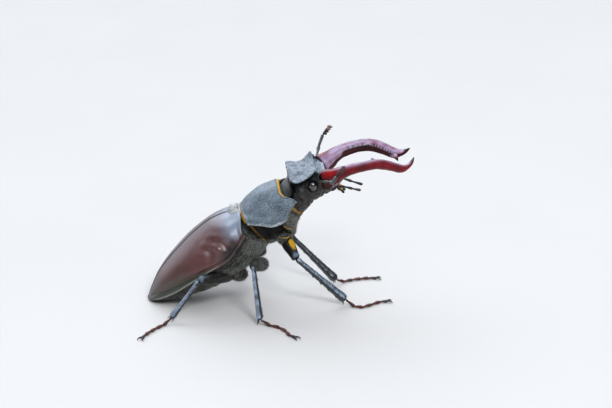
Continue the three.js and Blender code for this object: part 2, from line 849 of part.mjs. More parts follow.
for (const [name, { hip, knee, ankle, foot, claws }] of Object.entries(LEGS)) {
  const sizes = LEG_SIZES[name.split("_")[0]];
  const [from, bend, end] = [hip, knee, ankle].map((p) => point(...p));
  const between = (a, b, t) => a.clone().lerp(b, t).toArray();

  const coxaGeometry = (grow) =>
    new THREE.SphereGeometry(1, 9, 6)
      .scale(...sizes.coxa.map((size) => size + grow))
      .translate(from.x, from.y, from.z);
  addPiece(legs, `leg_${name}_coxa`, cutBy(solid(coxaGeometry(0)), ...trunkCutters), FINISHES.leg);

  const thigh = {
    path: THIGH_PLACES.map((t) => between(from, bend, t)),
    halfWidth: sizes.femur,
    rings: 5,
    around: 8,
  };
  const femur = cutBy(solid(limb(thigh)), coxaGeometry(FINE_GAP), ...trunkCutters);
  addPiece(legs, `leg_${name}_femur`, femur, FINISHES.leg);

  const shin = {
    path: SHIN_PLACES.map((t) => between(bend, end, t)),
    halfWidth: sizes.tibia,
    rings: 5,
    around: 6,
  };
  const outward = point(0, Math.sign(hip[1]) * SHIN_TOOTH.outward, SHIN_TOOTH.upward);
  const toothWay = end.clone().sub(bend).normalize().multiplyScalar(SHIN_TOOTH.along).add(outward);
  const teeth = steps(SHIN_TOOTH.from, SHIN_TOOTH.to, sizes.teeth - 1).map((t) => {
    const at = bend.clone().lerp(end, t);
    return spine(at, toothWay, SHIN_TOOTH.length, SHIN_TOOTH.radius);
  });
  const tibia = cutBy(joined(limb(shin), ...teeth), limb({ ...thigh, grow: FINE_GAP }));
  addPiece(legs, `leg_${name}_tibia`, tibia, FINISHES.leg);

  // The foot: five joints, each swollen toward its far end, then two claws.
  const joints = [...foot, claws].map(([x, y]) => point(x, y, TOE.height));
  const route = [end.clone().lerp(joints[0], 0.12), ...joints];
  const path = route.flatMap((p, i) => {
    const next = route[i + 1];
    return next ? [p.toArray(), between(p, next, TOE.swellAt)] : [p.toArray()];
  });
  const halfWidth = path.map((_, i) => (i % 2 ? TOE.swell : TOE.neck));
  const { around, phase } = TOE;
  const toes = loft(flattened(limbRings({ path, halfWidth, rings: path.length - 1, around, phase })));
  const clawFoot = joints.at(-1);
  const clawWay = clawFoot.clone().sub(joints.at(-2)).normalize();
  const aside = point(-clawWay.y, clawWay.x, 0);
  const clawLimbs = [-1, 1].map((which) => {
    const spot = (ahead, out, z) => {
      const at = clawFoot.clone().addScaledVector(clawWay, ahead);
      return at.addScaledVector(aside, out * which).setZ(z).toArray();
    };
    const clawPath = [
      spot(CLAW.root, 0, TOE.height),
      spot(CLAW.length / 2, CLAW.spread, TOE.height + CLAW.arch),
      spot(CLAW.length, CLAW.spread * 1.5, CLAW.tipHeight),
    ];
    return loft(flattened(limbRings({ path: clawPath, halfWidth: CLAW.sizes, rings: 2, around, phase })));
  });
  const tarsus = cutBy(joined(toes, ...clawLimbs), limb({ ...shin, grow: FINE_GAP }));
  addPiece(legs, `leg_${name}_tarsus`, tarsus, FINISHES.foot);
}

// ---------------------------------------------------------------- place in the part's frame

// The origin is on the floor under the middle of the whole beetle.
const reach = new THREE.Box3().setFromObject(model, true);
const centre = reach.getCenter(point(0, 0, 0));
model.position.set(-centre.x, -centre.y, -reach.min.z);

const stagBeetle = new THREE.Group();
stagBeetle.add(model);

export default stagBeetle;
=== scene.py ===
"""A male stag beetle, life size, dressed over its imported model.

Objects are in metres in the row's frame: +X ahead, +Y to the beetle's left, +Z up from the
floor. Sizes inside the classes are millimetres in a body section's own frame (ahead, out, up)
and turn into metres when a surface is placed.
"""

from __future__ import annotations

import logging
import math
from dataclasses import dataclass, field
from enum import Enum
from typing import Callable, Sequence

import bpy
import numpy as np
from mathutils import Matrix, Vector


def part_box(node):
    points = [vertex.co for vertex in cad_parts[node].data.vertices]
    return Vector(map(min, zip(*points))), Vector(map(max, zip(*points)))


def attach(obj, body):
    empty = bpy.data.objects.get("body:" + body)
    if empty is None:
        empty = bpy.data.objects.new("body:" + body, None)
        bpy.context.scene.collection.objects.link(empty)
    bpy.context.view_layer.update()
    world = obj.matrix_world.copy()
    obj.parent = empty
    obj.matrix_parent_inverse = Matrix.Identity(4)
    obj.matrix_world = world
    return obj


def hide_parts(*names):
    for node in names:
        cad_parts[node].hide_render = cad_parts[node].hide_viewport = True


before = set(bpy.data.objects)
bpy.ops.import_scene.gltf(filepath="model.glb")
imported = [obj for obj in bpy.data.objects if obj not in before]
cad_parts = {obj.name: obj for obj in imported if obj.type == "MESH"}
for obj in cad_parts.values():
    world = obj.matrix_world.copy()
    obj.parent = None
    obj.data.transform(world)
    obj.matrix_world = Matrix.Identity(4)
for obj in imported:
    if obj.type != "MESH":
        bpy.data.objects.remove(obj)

log = logging.getLogger("stag_beetle")

MM = 0.001
Array = np.ndarray
Floats = Sequence[float]
Pair = tuple[float, float]
Knots = Sequence[Floats]
Marks = dict[str, Array | float]
Material = bpy.types.Material
Socket = bpy.types.NodeSocket


# ---- curves and fields


class Profile:
    """A smooth curve through knots (x, y) that never swings past them."""

    def __init__(self, *knots: Floats) -> None:
        """Keeps the knots and the tangent at each of them.

        Args:
            knots: pairs (x, y) with growing x
        """
        table = np.asarray(knots, float)
        self.x, self.y = table[:, 0], table[:, 1]
        slope = np.diff(self.y) / np.diff(self.x)
        before, after = slope[:-1], slope[1:]
        level = before * after <= 0
        total = np.where(level, 1.0, before + after)
        inner = np.where(level, 0.0, 2 * before * after / total)
        self.tangent = np.concatenate([slope[:1], inner, slope[-1:]])

    def __call__(self, x: Array | float) -> Array:
        """The curve's height at x: a cubic between neighbouring knots, level beyond the ends.

        Args:
            x: one place or an array of them

        Returns:
            The heights, in the shape of x
        """
        x = np.asarray(x, float)
        i = np.clip(np.searchsorted(self.x, x, side="right") - 1, 0, len(self.x) - 2)
        width = self.x[i + 1] - self.x[i]
        s = np.clip((x - self.x[i]) / width, 0, 1)
        bend = (1 - s) * self.tangent[i] - s * self.tangent[i + 1]
        rise = (self.y[i + 1] - self.y[i]) * s * s * (3 - 2 * s)
        return self.y[i] + rise + width * s * (1 - s) * bend


class Route:
    """A path through points in space: a centripetal Catmull-Rom curve."""

    def __init__(self, knots: Knots) -> None:
        """Keeps the knots, with one more mirrored past each end.

        Args:
            knots: the points that the path runs through
        """
        inner = np.asarray(knots, float)
        first = 2 * inner[:1] - inner[1:2]
        last = 2 * inner[-1:] - inner[-2:-1]
        self.knots = np.concatenate([first, inner, last])

    def __call__(self, t: Array) -> Array:
        """Points at t from 0 to 1, which counts evenly by knots.

        Args:
            t: places along the path, shape (n,).

        Returns:
            Points, shape (n, 3).
        """
        spans = len(self.knots) - 3
        at = np.clip(np.asarray(t, float), 0, 1) * spans
        i = np.minimum(at.astype(int), spans - 1)
        w = (at - i)[:, None]
        a, b, c, d = (self.knots[i + k] for k in range(4))
        step = [np.maximum(np.linalg.norm(q - p, axis=1), 1e-9)[:, None] ** 0.5
                for p, q in ((a, b), (b, c), (c, d))]
        start = (b - a) / step[0] - (c - a) / (step[0] + step[1]) + (c - b) / step[1]
        end = (c - b) / step[1] - (d - b) / (step[1] + step[2]) + (d - c) / step[2]
        start, end = start * step[1], end * step[1]
        return (b + start * w + (-3 * b + 3 * c - 2 * start - end) * w**2
                + (2 * b - 2 * c + start + end) * w**3)


def bell(x: Array, middle: float, width: float) -> Array:
    """A bell curve of height 1 at the middle, with the given half width."""
    return np.exp(-(((x - middle) / width) ** 2))


def ramp(x: Array, start: float, end: float) -> Array:
    """A smooth step from 0 at start to 1 at end."""
    s = np.clip((x - start) / (end - start), 0, 1)
    return s * s * (3 - 2 * s)


def fade(x: Array, start: float, end: float) -> Array:
    """A smooth step from 1 at start to 0 at end."""
    return 1 - ramp(x, start, end)


def signed_power(value: Array, power: Array | float) -> Array:
    """The value raised to a power with its sign kept: the corner shape of a rounded box."""
    return np.sign(value) * np.abs(value) ** power


def swell(points: Array, size: float, seed: int, waves: int = 18) -> Array:
    """A soft random field over space: the mean of many slanted sine waves, about -1 to 1.

    Args:
        points: places, shape (..., 3), millimetres.
        size: the usual length of one wave, millimetres.
        seed: which field.
        waves: how many waves are added.

    Returns:
        The field's value at each place, shape (...).
    """
    rng = np.random.default_rng(seed)
    way = rng.normal(size=(waves, 3))
    way *= 2 * math.pi / size / np.linalg.norm(way, axis=1)[:, None]
    way *= rng.uniform(0.6, 1.5, (waves, 1))
    phase = rng.uniform(0, 2 * math.pi, waves)
    return np.sin(points @ way.T + phase).sum(-1) * math.sqrt(2 / waves)


def unit(vectors: Array) -> Array:
    """The vectors at length 1."""
    return vectors / np.maximum(np.linalg.norm(vectors, axis=-1, keepdims=True), 1e-12)


def ring_turns(n: int) -> Array:
    """n even turns round a ring, in radians, shape (1, n)."""
    return (np.arange(n) * 2 * math.pi / n)[None]


def distances(grid: Array, axis: int) -> Array:
    """How far each point of a grid lies from the first one, along the grid's lines.

    Args:
        grid: points, shape (..., 3).
        axis: the axis that the lines run along.

    Returns:
        The sums of the steps, 0 at the first row, in the grid's shape without the last axis.
    """
    steps = np.linalg.norm(np.diff(grid, axis=axis), axis=-1).cumsum(axis)
    return np.concatenate([np.zeros_like(np.take(steps, [0], axis)), steps], axis)


def grid_normals(points: Array, wrap: bool = True) -> Array:
    """Unit normals of a grid: the cross product of its two directions, pointing out.

    Args:
        points: a grid, shape (along, around, 3).
        wrap: whether the grid closes on itself around.

    Returns:
        Normals, shape (along, around, 3), turned so that most point away from the middle.
    """
    along = np.gradient(points, axis=0)
    if wrap:
        around = (np.roll(points, -1, axis=1) - np.roll(points, 1, axis=1)) / 2
    else:
        around = np.gradient(points, axis=1)
    normal = unit(np.cross(along, around))
    middle = points.mean(axis=1, keepdims=True)
    if np.sum(normal * (points - middle)) < 0:
        normal = -normal
    return normal


def raised(grid: Array, height: Array, wrap: bool = True) -> Array:
    """The grid with each point moved out along its normal by its height."""
    return grid + grid_normals(grid, wrap) * height[..., None]


# ---- frames of the body sections


TIP_INSET = 0.208  # the wing cases' tip lies this many millimetres ahead of the origin


def anchor() -> Array:
    """Where the solids' own construction origin lies, in millimetres in the row's frame.

    Returns:
        The point (x, y, z)
    """
    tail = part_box("elytron_right")[0].x / MM - TIP_INSET
    low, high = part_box("pronotum")
    return np.array([tail, (low.y + high.y) / 2 / MM, 0.0])


ANCHOR = anchor()


@dataclass(frozen=True)
class Section:
    """The frame of one body section on the midline, pitched nose up."""

    ahead: float
    up: float
    pitch: float

    def metres(self, local: Array) -> Array:
        """Turns millimetres (ahead, out, up) by the pitch into metres in the row's frame.

        Args:
            local: points in millimetres in the section's frame

        Returns:
            The same points in metres
        """
        cosine, sine = math.cos(math.radians(self.pitch)), math.sin(math.radians(self.pitch))
        x = self.ahead + local[..., 0] * cosine - local[..., 2] * sine
        z = self.up + local[..., 0] * sine + local[..., 2] * cosine
        return (np.stack([x, local[..., 1], z], -1) + ANCHOR) * MM


HIND_BODY = Section(0, 0.6, 43.9)
PROTHORAX = Section(22.69, 22.81, 34.4)
HEAD = Section(33.57, 25.44, 18)
FLOOR = Section(0, 0, 0)


class Side(Enum):
    """A side of the body, with the sign of its Y."""

    LEFT = 1
    RIGHT = -1

    @property
    def word(self) -> str:
        """The side's name in piece names."""
        return self.name.lower()

    @property
    def flip(self) -> Array:
        """What a point on the left is multiplied by to lie on this side."""
        return np.array([1, self.value, 1])


# ---- patches and objects


@dataclass
class Patch:
    """A closed bit of surface, in metres, with a value per point for each named mark.

    place is where each point lies on the piece's UV map, for pieces that need one.
    """

    points: Array
    quads: Array
    tris: Array
    marks: Marks = field(default_factory=dict)
    place: Array | None = None

    def outward(self) -> Patch:
        """Turns the faces round where the closed surface has a negative volume.

        Returns:
            The patch itself
        """
        split = np.concatenate([self.quads[:, [0, 1, 2]], self.quads[:, [0, 2, 3]], self.tris])
        a, b, c = (self.points[split[:, k]] for k in range(3))
        if np.sum(np.cross(a - self.points[0], b - self.points[0]) * (c - self.points[0])) < 0:
            self.quads = self.quads[:, ::-1]
            self.tris = self.tris[:, ::-1]
        return self


def closed_grid(section: Section, grid: Array, marks: Marks | None = None) -> Patch:
    """A closed surface over rings: quads between neighbouring rings and a fan over each end.

    Args:
        section: the frame that the rings are in.
        grid: rings of equal length, shape (rings, around, 3), millimetres.
        marks: values that spread over the same grid, shape (rings, around).

    Returns:
        The patch, facing outward.
    """
    points = section.metres(grid)
    rings, around = points.shape[:2]
    index = np.arange(rings * around).reshape(rings, around)
    ahead, beside = index[1:], np.roll(index, -1, axis=1)
    quads = np.stack([index[:-1], beside[:-1], beside[1:], ahead], -1).reshape(-1, 4)
    poles = rings * around + np.arange(2)
    first = np.stack([beside[0], index[0], np.full(around, poles[0])], -1)
    last = np.stack([index[-1], beside[-1], np.full(around, poles[1])], -1)
    ends = np.stack([points[0].mean(0), points[-1].mean(0)])
    values = {}
    for name, value in (marks or {}).items():
        value = np.broadcast_to(value, (rings, around))
        values[name] = np.concatenate([value.ravel(), [value[0].mean(), value[-1].mean()]])
    return Patch(np.concatenate([points.reshape(-1, 3), ends]), quads,
                 np.concatenate([first, last]), values).outward()


def build(name: str, patches: Sequence[Patch], finish: Material, slot: str, *nodes: str) -> None:
    """Makes one object of patches, dresses it and gives it its place in the frame.

    Args:
        name: the piece's name.
        patches: the closed surfaces it is made of, which the floor stops from below.
        finish: its material.
        slot: the record's material slot; not used.
        nodes: the CAD nodes it stands for.
    """
    for patch in patches:
        patch.points[:, 2] = np.maximum(patch.points[:, 2], 0)
    starts = np.cumsum([0] + [len(p.points) for p in patches])
    points = np.concatenate([p.points for p in patches])
    quads = np.concatenate([p.quads + s for p, s in zip(patches, starts)])
    tris = np.concatenate([p.tris + s for p, s in zip(patches, starts)])
    mesh = bpy.data.meshes.new(name)
    mesh.vertices.add(len(points))
    mesh.vertices.foreach_set("co", points.astype(np.float32).ravel())
    corners = np.concatenate([quads.ravel(), tris.ravel()])
    mesh.loops.add(len(corners))
    mesh.loops.foreach_set("vertex_index", corners.astype(np.int32))
    first = np.concatenate([4 * np.arange(len(quads)), 4 * len(quads) + 3 * np.arange(len(tris))])
    mesh.polygons.add(len(first))
    mesh.polygons.foreach_set("loop_start", first.astype(np.int32))
    mesh.update(calc_edges=True)
    mesh.polygons.foreach_set("use_smooth", np.ones(len(first), bool))
    for mark in sorted({key for p in patches for key in p.marks}):
        value = np.concatenate([p.marks.get(mark, np.zeros(len(p.points))) for p in patches])
        values = mesh.attributes.new(mark, "FLOAT", "POINT").data
        values.foreach_set("value", value.astype(np.float32))
    if any(p.place is not None for p in patches):
        place = np.concatenate([p.place for p in patches])
        unwrap = mesh.uv_layers.new(name="OFBake")
        unwrap.data.foreach_set("uv", place[corners].astype(np.float32).ravel())
    mesh.materials.append(finish)
    piece = bpy.data.objects.new(name, mesh)
    bpy.context.scene.collection.objects.link(piece)
    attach(piece, "root")
    if nodes:
        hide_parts(*nodes)
    log.info("%s: %d faces, stands for %s", name, len(first), ", ".join(nodes) or "no node")


def sweep(path: Array, half_width: Array, half_height: Array, around: int, power: float = 1.0,
          grow: Callable[[Array, Array], Array] | None = None,
          upward: Floats = (0, 0, 1)) -> Array:
    """A tube: at each point of a path stands a ring, cos by its half width to the side and sin
    by its half height upward, both raised to a power, and moved out by grow.

    Args:
        path: the middle line, shape (n, 3).
        half_width: half sizes to the side, shape (n,).
        half_height: half sizes upward, shape (n,).
        around: points in a ring.
        power: 1 is an ellipse, less is squarer.
        grow: extra size as a share, from the place along (n, 1) and the turn (1, around).
        upward: the direction that a ring's top leans to.

    Returns:
        Rings, shape (n, around, 3).
    """
    ahead = unit(np.gradient(path, axis=0))
    side = unit(np.cross(np.asarray(upward, float), ahead))
    above = np.cross(ahead, side)
    turn = ring_turns(around)
    place = np.linspace(0, 1, len(path))[:, None]
    size = 1 + (grow(place, turn) if grow else 0)
    out = half_width[:, None] * signed_power(np.cos(turn), power) * size
    rise = half_height[:, None] * signed_power(np.sin(turn), power) * size
    return path[:, None] + side[:, None] * out[..., None] + above[:, None] * rise[..., None]


OPEN_TIP = 0.004  # a dome's last ring stays open by this share, and a fan closes it


def domed(path: Array, half_width: Array, half_height: Array, blunt: float) -> Array:
    """How far a tube's sizes shrink near its two ends, so that each end is a dome.

    Args:
        path: the middle line, shape (n, 3).
        half_width: half sizes to the side, shape (n,).
        half_height: half sizes upward, shape (n,).
        blunt: the dome's length as a share of the tube's width.

    Returns:
        A factor per point, from near 0 at the ends to 1.
    """
    run = distances(path, 0)
    away = np.minimum(run, run[-1] - run) / (blunt * (half_width + half_height))
    return np.sqrt(1 - (1 - np.clip(away + OPEN_TIP, 0, 1)) ** 2)


def tube(path: Array, size: Array, around: int, blunt: float, gauge: float = 0.0,
         flat: Floats = (1, 1), **shape: object) -> Array:
    """A swept tube whose two ends close as domes.

    Args:
        path: the middle line, shape (n, 3).
        size: its radius, shape (n,).
        around: points in a ring.
        blunt: the domes' length as a share of the tube's width.
        gauge: the radius that the domes are measured by; the tube's own if it is 0.
        flat: the half width and the half height as shares of the radius.
        shape: what sweep takes besides, such as power and grow.

    Returns:
        Rings, shape (n, around, 3).
    """
    by = np.full(len(path), gauge) if gauge else size
    size = size * domed(path, by, by, blunt)
    return sweep(path, flat[0] * size, flat[1] * size, around, **shape)


def edged(n: int, length: float, rim: float, rows: int = 6) -> Array:
    """n places from 0 to 1 with some rows close to each end, for a rounded edge.

    Args:
        n: how many places there are.
        length: the whole length, millimetres.
        rim: how far the close rows reach from each end, millimetres.
        rows: how many rows lie in each rim.

    Returns:
        The places, in rising order.
    """
    share = rim / length
    close = share * (1 - np.cos(np.linspace(0, math.pi / 2, rows, endpoint=False)))
    middle = np.linspace(share, 1 - share, n - 2 * rows)
    return np.concatenate([close, middle, 1 - close[::-1]])


def thick_sheet(section: Section, outer: Array, thick: float, edge: float,
                marks: Marks | None = None, open_end: bool = False) -> Patch:
    """A plate: the outer skin is the grid, the inner skin lies under it by the thickness along
    the normal, and toward the edges both close in on the surface between them as a half round.

    Args:
        section: the frame that the grid is in.
        outer: the grid, shape (along, across, 3), millimetres.
        thick: the plate's thickness, millimetres.
        edge: how far from the edges the half round reaches, millimetres.
        marks: values on the grid for the outer skin and, the same, for the inner one.
        open_end: leaves the first row out of the rounding, where the plate narrows to a tip.

    Returns:
        The patch, facing outward.
    """
    normal = grid_normals(outer, wrap=False)
    along, across = distances(outer, 0), distances(outer, 1)
    away = np.minimum(across, across[:, -1:] - across)
    away = np.minimum(away, along[-1:] - along)
    if not open_end:
        away = np.minimum(away, along)
    close = thick / 2 * (1 - np.sqrt(1 - (1 - np.clip(away / edge, 0, 1)) ** 2))
    upper = outer - normal * close[..., None]
    lower = outer - normal * (thick - close)[..., None]
    rows, columns = away.shape
    top = np.arange(rows * columns).reshape(rows, columns)
    under = top.copy()
    inner = (rows - 2) * (columns - 2)
    under[1:-1, 1:-1] = rows * columns + np.arange(inner).reshape(rows - 2, -1)
    cells = [np.stack([index[:-1, :-1], index[:-1, 1:], index[1:, 1:], index[1:, :-1]], -1)
             for index in (top, under)]
    quads = np.concatenate([cells[0].reshape(-1, 4), cells[1].reshape(-1, 4)[:, ::-1]])
    values = {name: np.concatenate([value.ravel(), value[1:-1, 1:-1].ravel()])
              for name, value in (marks or {}).items()}
    points = np.concatenate([upper.reshape(-1, 3), lower[1:-1, 1:-1].reshape(-1, 3)])
    return Patch(section.metres(points), quads, np.zeros((0, 3), int), values).outward()


def ring_through(lines: Array, per_span: int) -> Array:
    """Closed rings through named lines and their mirror images: a Catmull-Rom curve across.

    Args:
        lines: the left half's lines from the top middle to the under middle, with further
            values after the three coordinates, shape (stations, lines, 3 + values).
        per_span: points from one line to the next.

    Returns:
        Rings, shape (stations, (2 * lines - 2) * per_span, 3 + values).
    """
    flip = np.ones(lines.shape[-1])
    flip[1] = -1
    ring = np.concatenate([lines, lines[:, -2:0:-1] * flip], axis=1)
    a, b, c, d = (np.roll(ring, 1 - k, axis=1)[:, :, None] for k in range(4))
    w = (np.arange(per_span) / per_span)[:, None]
    at = 0.5 * (2 * b + (c - a) * w + (2 * a - 5 * b + 4 * c - d) * w**2
                + (3 * b - a - 3 * c + d) * w**3)
    return at.reshape(len(lines), -1, lines.shape[-1])


def orb(centre: Floats, half_sizes: Floats, axes: Array | None = None,
        rings: int = 24, around: int = 32) -> Array:
    """An ellipsoid as rings along its first axis: cosine ahead, sine across.

    Args:
        centre: its middle.
        half_sizes: its half size along each axis.
        axes: three unit rows that it lies along; the frame's own if left out.
        rings: how many rings there are.
        around: points in a ring.

    Returns:
        Rings, shape (rings, around, 3).
    """
    axes = np.eye(3) if axes is None else axes
    down = np.linspace(0.04, math.pi - 0.04, rings)[:, None]
    turn = ring_turns(around)
    parts = (np.cos(down) + 0 * turn, np.sin(down) * np.cos(turn), np.sin(down) * np.sin(turn))
    local = np.stack([part * size for part, size in zip(parts, half_sizes)], -1)
    return np.asarray(centre, float) + local @ axes


THORN_RINGS = 10


def thorn(root: Array, way: Array, length: float, radius: float,
          hook: Floats = (0, 0, 0)) -> Array:
    """A thorn's rings: the radius falls with the 0.75th power of what is left, and the path
    leans toward hook with the square of the way along.

    Args:
        root: where it stands.
        way: where it points.
        length: how long it is.
        radius: its radius at the root.
        hook: how far its tip is moved aside.

    Returns:
        Rings, shape (THORN_RINGS, 10, 3).
    """
    t = np.linspace(0, 1, THORN_RINGS)
    path = root + unit(way) * length * t[:, None] + np.asarray(hook) * t[:, None] ** 2
    size = radius * (1.02 - t) ** 0.75
    return sweep(path, size, size, 10, upward=(0.13, 0.21, 0.97))


# ---- finishes


def tone(code: str) -> tuple[float, float, float, float]:
    """A colour written as six hex digits, in the linear values that the shader takes.

    Args:
        code: two hex digits each for red, green and blue

    Returns:
        Linear red, green and blue, and an alpha of 1
    """
    values = [int(code[i:i + 2], 16) / 255 for i in (0, 2, 4)]
    linear = [v / 12.92 if v <= 0.04045 else ((v + 0.055) / 1.055) ** 2.4 for v in values]
    return (*linear, 1.0)


class Nodes:
    """A node tree, emptied, with short ways to add and join nodes."""

    def __init__(self, owner: Material | bpy.types.World) -> None:
        """Takes over the tree of a material or a world.

        Args:
            owner: the material or world whose nodes are rebuilt
        """
        owner.use_nodes = True
        self.tree = owner.node_tree
        self.tree.nodes.clear()

    def add(self, kind: str, **settings: object) -> bpy.types.Node:
        """A new node of that kind, with its own properties set.

        Args:
            kind: the node's type name
            settings: properties of the node and their values

        Returns:
            The node
        """
        node = self.tree.nodes.new(kind)
        for key, value in settings.items():
            setattr(node, key, value)
        return node

    def feed(self, node: bpy.types.Node, values: dict[str | int, object]) -> None:
        """Joins an output to each named or numbered input, or writes a plain value on it.

        Args:
            node: the node that is fed
            values: an output or a plain value for each input
        """
        for key, value in values.items():
            if isinstance(value, Socket):
                self.tree.links.new(value, node.inputs[key])
            else:
                node.inputs[key].default_value = value

    def sum(self, kind: str, first: object, second: object) -> Socket:
        """One arithmetic step on two plain values or outputs.

        Args:
            kind: the operation's name
            first: a plain value or an output
            second: the other one

        Returns:
            The result's output
        """
        node = self.add("ShaderNodeMath", operation=kind)
        self.feed(node, {0: first, 1: second})
        return node.outputs[0]

    def between(self, value: object, low: float, high: float, start: float = 0.0,
                end: float = 1.0, ease: str = "SMOOTHSTEP") -> Socket:
        """The value moved from the range low to high onto start to end, and held there.

        Args:
            value: a plain value or an output
            low, high: the range that it comes from
            start, end: the range that it is moved onto
            ease: how it runs between them

        Returns:
            The result's output
        """
        node = self.add("ShaderNodeMapRange", interpolation_type=ease)
        self.feed(node, {0: value, 1: low, 2: high, 3: start, 4: end})
        return node.outputs[0]


class Graph(Nodes):
    """A material's node tree: one surface shader, fed from the object's own coordinates."""

    def __init__(self, name: str) -> None:
        """Starts the material with its shader.

        Args:
            name: the material's name
        """
        self.material = bpy.data.materials.new(name)
        super().__init__(self.material)
        self.shader = self.add("ShaderNodeBsdfPrincipled")
        self.feed(self.add("ShaderNodeOutputMaterial"), {"Surface": self.shader.outputs["BSDF"]})
        self.place = self.add("ShaderNodeTexCoord").outputs["Object"]

    def noise(self, size: float, detail: float = 3.0) -> Socket:
        """Cloudy noise from 0 to 1, whose clouds are size millimetres across.

        Args:
            size: millimetres
            detail: how many finer layers it has

        Returns:
            The noise's output
        """
        node = self.add("ShaderNodeTexNoise")
        self.feed(node, {"Vector": self.place, "Scale": 1 / (size * MM), "Detail": detail})
        return node.outputs["Fac"]

    def clouds(self, size: float, low: float, high: float, detail: float = 3.0) -> Socket:
        """Cloudy noise with fuller contrast, from low to high."""
        return self.between(self.noise(size, detail), 0.3, 0.7, low, high)

    def cells(self, size: float) -> Socket:
        """The distance from the nearest of many scattered points, size millimetres apart.

        Args:
            size: millimetres

        Returns:
            The distance's output
        """
        node = self.add("ShaderNodeTexVoronoi")
        self.feed(node, {"Vector": self.place, "Scale": 1 / (size * MM)})
        return node.outputs["Distance"]

    def mix(self, factor: object, first: object, second: object) -> Socket:
        """The first colour where the factor is 0 and the second where it is 1.

        Args:
            factor: a plain value or an output
            first, second: colours or outputs

        Returns:
            The colour's output
        """
        node = self.add("ShaderNodeMix", data_type="RGBA")
        self.feed(node, {"Factor": factor, 6: first, 7: second})
        return node.outputs[2]

    def mark(self, name: str) -> Socket:
        """The value of a mark that the mesh carries."""
        return self.add("ShaderNodeAttribute", attribute_name=name).outputs["Fac"]

    def bump(self, height: Socket, depth: float, **below: Socket) -> Socket:
        """A bumped normal, where the height from 0 to 1 stands for the depth in millimetres.

        Args:
            height: the relief's output
            depth: millimetres
            below: a normal that the relief stands on

        Returns:
            The normal's output
        """
        node = self.add("ShaderNodeBump")
        self.feed(node, {"Height": height, "Distance": depth * MM, **below})
        return node.outputs[0]

    def dress(self, inputs: dict[str, object]) -> Material:
        """Feeds the shader's own inputs and hands over the material."""
        self.feed(self.shader, inputs)
        return self.material


@dataclass(frozen=True)
class Horn:
    """Insect horn: a mottled colour under a gloss, pitted and finely grained.

    colour and shade are mixed by clouds mottle millimetres across. Each of tints is a mark on
    the mesh and the colour it turns the horn to. Pits are pit millimetres apart, and rubbed
    names a mark where there are none; pit_shade is how much darker they are, a painted shade
    in the pits, and speckle how far the colour's light varies from spot to spot. grain is the
    size of the finest relief.
    """

    name: str
    colour: str
    shade: str
    mottle: float = 3.0
    tints: tuple[tuple[str, str], ...] = ()
    gloss: Pair = (0.22, 0.36)
    pit: float = 0.4
    pit_depth: float = 0.03
    pit_shade: float = 0.2
    speckle: float = 0.0
    grain: float = 0.08
    grain_depth: float = 0.006
    dust: float = 0.12
    dust_colour: str = "8d8577"
    coat: float = 0.0
    coat_gloss: float = 0.12
    specular: float = 0.5
    rubbed: str = ""

    def material(self) -> Material:
        """Builds the node tree.

        Returns:
            The finished material
        """
        graph = Graph(self.name)
        clouds = graph.between(graph.noise(self.mottle, 4), 0.35, 0.65)
        colour = graph.mix(clouds, tone(self.colour), tone(self.shade))
        for mark, tint in self.tints:
            colour = graph.mix(graph.mark(mark), colour, tone(tint))
        pits = graph.between(graph.cells(self.pit), 0.08, 0.42)
        if self.rubbed:
            pits = graph.sum("MAXIMUM", pits, graph.mark(self.rubbed))
        # Painted shade: the colour darkens in the pits.
        lit = graph.between(pits, 0.0, 1.0, 1.0 - self.pit_shade, 1.0)
        fleck = graph.between(graph.noise(0.3, 3), 0.36, 0.64, 1 - self.speckle, 1 + self.speckle)
        lit = graph.sum("MULTIPLY", lit, fleck)
        shaded = graph.add("ShaderNodeVectorMath", operation="SCALE")
        graph.feed(shaded, {0: colour, "Scale": lit})
        specks = graph.between(graph.noise(0.5, 6), 0.56, 0.74)
        patches = graph.between(graph.noise(5.0, 2), 0.45, 0.7)
        dusty = graph.sum("MULTIPLY", graph.sum("MULTIPLY", specks, patches), self.dust)
        colour = graph.mix(dusty, shaded.outputs[0], tone(self.dust_colour))
        dull = graph.clouds(1.6, *self.gloss, detail=5)
        dull = graph.sum("ADD", dull, graph.sum("MULTIPLY", dusty, 0.6))
        relief = graph.bump(graph.noise(self.grain, 3), self.grain_depth)
        relief = graph.bump(pits, self.pit_depth, Normal=relief)
        return graph.dress({"Base Color": colour, "Roughness": dull, "Normal": relief,
                            "Coat Weight": self.coat, "Coat Roughness": self.coat_gloss,
                            "Specular IOR Level": self.specular})


@dataclass(frozen=True)
class Facets:
    """A compound eye: black and polished, with a very fine net of facets."""

    name: str = "eye_facets"
    colour: str = "040506"
    shade: str = "07080a"
    gloss: Pair = (0.1, 0.18)
    facet: float = 0.05
    facet_height: float = 0.002
    coat_index: float = 1.9
    coat_gloss: float = 0.16
    specular: float = 0.2

    def material(self) -> Material:
        """Builds the node tree.

        Returns:
            The finished material
        """
        graph = Graph(self.name)
        sheen = graph.between(graph.noise(0.8, 2), 0.4, 0.7)
        net = graph.between(graph.cells(self.facet), 0.2, 0.6, 1.0, 0.0)
        return graph.dress({"Base Color": graph.mix(sheen, tone(self.colour), tone(self.shade)),
                            "Roughness": graph.clouds(0.6, *self.gloss),
                            "Normal": graph.bump(net, self.facet_height),
                            "Coat Weight": 1.0, "Coat IOR": self.coat_index,
                            "Coat Roughness": self.coat_gloss,
                            "Specular IOR Level": self.specular})


